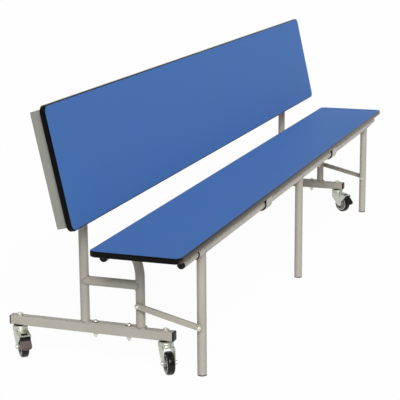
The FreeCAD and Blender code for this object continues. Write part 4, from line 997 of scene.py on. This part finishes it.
class BENCH_OT_brakes(Operator):
    """Round the brake pedals and rib their foot pads"""
    bl_idname = "bench.brakes"
    bl_label = "Brake pedals"

    def execute(self, context):
        count = context.scene.bench_sizes.pedal_ribs
        high = Vector(PAD_UPPER)
        low = Vector(PAD_LOWER)
        right = Vector((1.0, 0.0, 0.0))
        slope = (high - low).normalized()
        turn = Matrix((right, slope, right.cross(slope))).transposed().to_4x4()
        rib = model_rib(*PAD_RIB)
        for tag in BRAKED:
            place = caster_place(tag)
            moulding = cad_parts["brake_pedal_" + tag].material_slots[0].material
            soften("brake_pedal_" + tag, PEDAL_ROUND, 3, moulding, "pedal_" + tag,
                   corners=at_pad_corner(place.inverted()))
            for number in range(count):
                spot = high.lerp(low, (number + 1.0) / (count + 1.0))
                foot = place @ Matrix.Translation(spot) @ turn
                piece = copy_at(rib, "pedal_rib_%s_%d" % (tag, number), foot)
                dress(piece, moulding, "pedal_" + tag)
        remove(rib)
        return {"FINISHED"}


class BENCH_OT_washers(Operator):
    """Slip the black washers under the frame bolts"""
    bl_idname = "bench.washers"
    bl_label = "Washers"

    def execute(self, context):
        black = bpy.data.materials["black moulding"]
        wide = model_washer(*PLATE_WASHER)
        up = Matrix.Rotation(-math.pi / 2, 4, "Y")
        for side, hand in ENDS:
            for number, y in enumerate(FRAME_BOLTS):
                seat = Matrix.Translation((side * FRAME_X, y, PLATE_TOP)) @ up
                piece = copy_at(wide, "washer_plate_%s_%d" % (hand, number), seat)
                dress(piece, black, "frame")
        remove(wide)
        return {"FINISHED"}


class BENCH_PT_bench(Panel):
    """Steps of the bench's finish"""
    bl_idname = "BENCH_PT_bench"
    bl_label = "Folding bench"
    bl_space_type = "VIEW_3D"
    bl_region_type = "UI"
    bl_category = "Bench"

    def draw(self, context):
        scene = context.scene
        for settings in (scene.bench_colours, scene.bench_sizes, scene.bench_light):
            box = self.layout.box()
            for key in settings.__annotations__:
                box.prop(settings, key)
        for operator in OPERATORS:
            self.layout.operator(operator.bl_idname)


OPERATORS = (BENCH_OT_stage, BENCH_OT_boards, BENCH_OT_paint, BENCH_OT_mouldings, BENCH_OT_fasteners,
             BENCH_OT_casters, BENCH_OT_welds, BENCH_OT_wheels, BENCH_OT_brakes, BENCH_OT_washers)
SETTINGS = (BenchColours, BenchSizes, BenchLight)


def register():
    """Add the operators, the panel and the settings."""
    for kind in SETTINGS + OPERATORS + (BENCH_PT_bench,):
        bpy.utils.register_class(kind)
    bpy.types.Scene.bench_colours = PointerProperty(type=BenchColours)
    bpy.types.Scene.bench_sizes = PointerProperty(type=BenchSizes)
    bpy.types.Scene.bench_light = PointerProperty(type=BenchLight)


def unregister():
    """Take them away again."""
    del bpy.types.Scene.bench_light
    del bpy.types.Scene.bench_sizes
    del bpy.types.Scene.bench_colours
    for kind in reversed(SETTINGS + OPERATORS + (BENCH_PT_bench,)):
        bpy.utils.unregister_class(kind)


def main():
    """Finish the whole bench."""
    register()
    bpy.ops.bench.stage()
    bpy.ops.bench.boards()
    bpy.ops.bench.paint()
    bpy.ops.bench.mouldings()
    bpy.ops.bench.fasteners()
    bpy.ops.bench.casters()
    bpy.ops.bench.welds()
    bpy.ops.bench.wheels()
    bpy.ops.bench.brakes()
    bpy.ops.bench.washers()


if __name__ == "__main__":
    main()
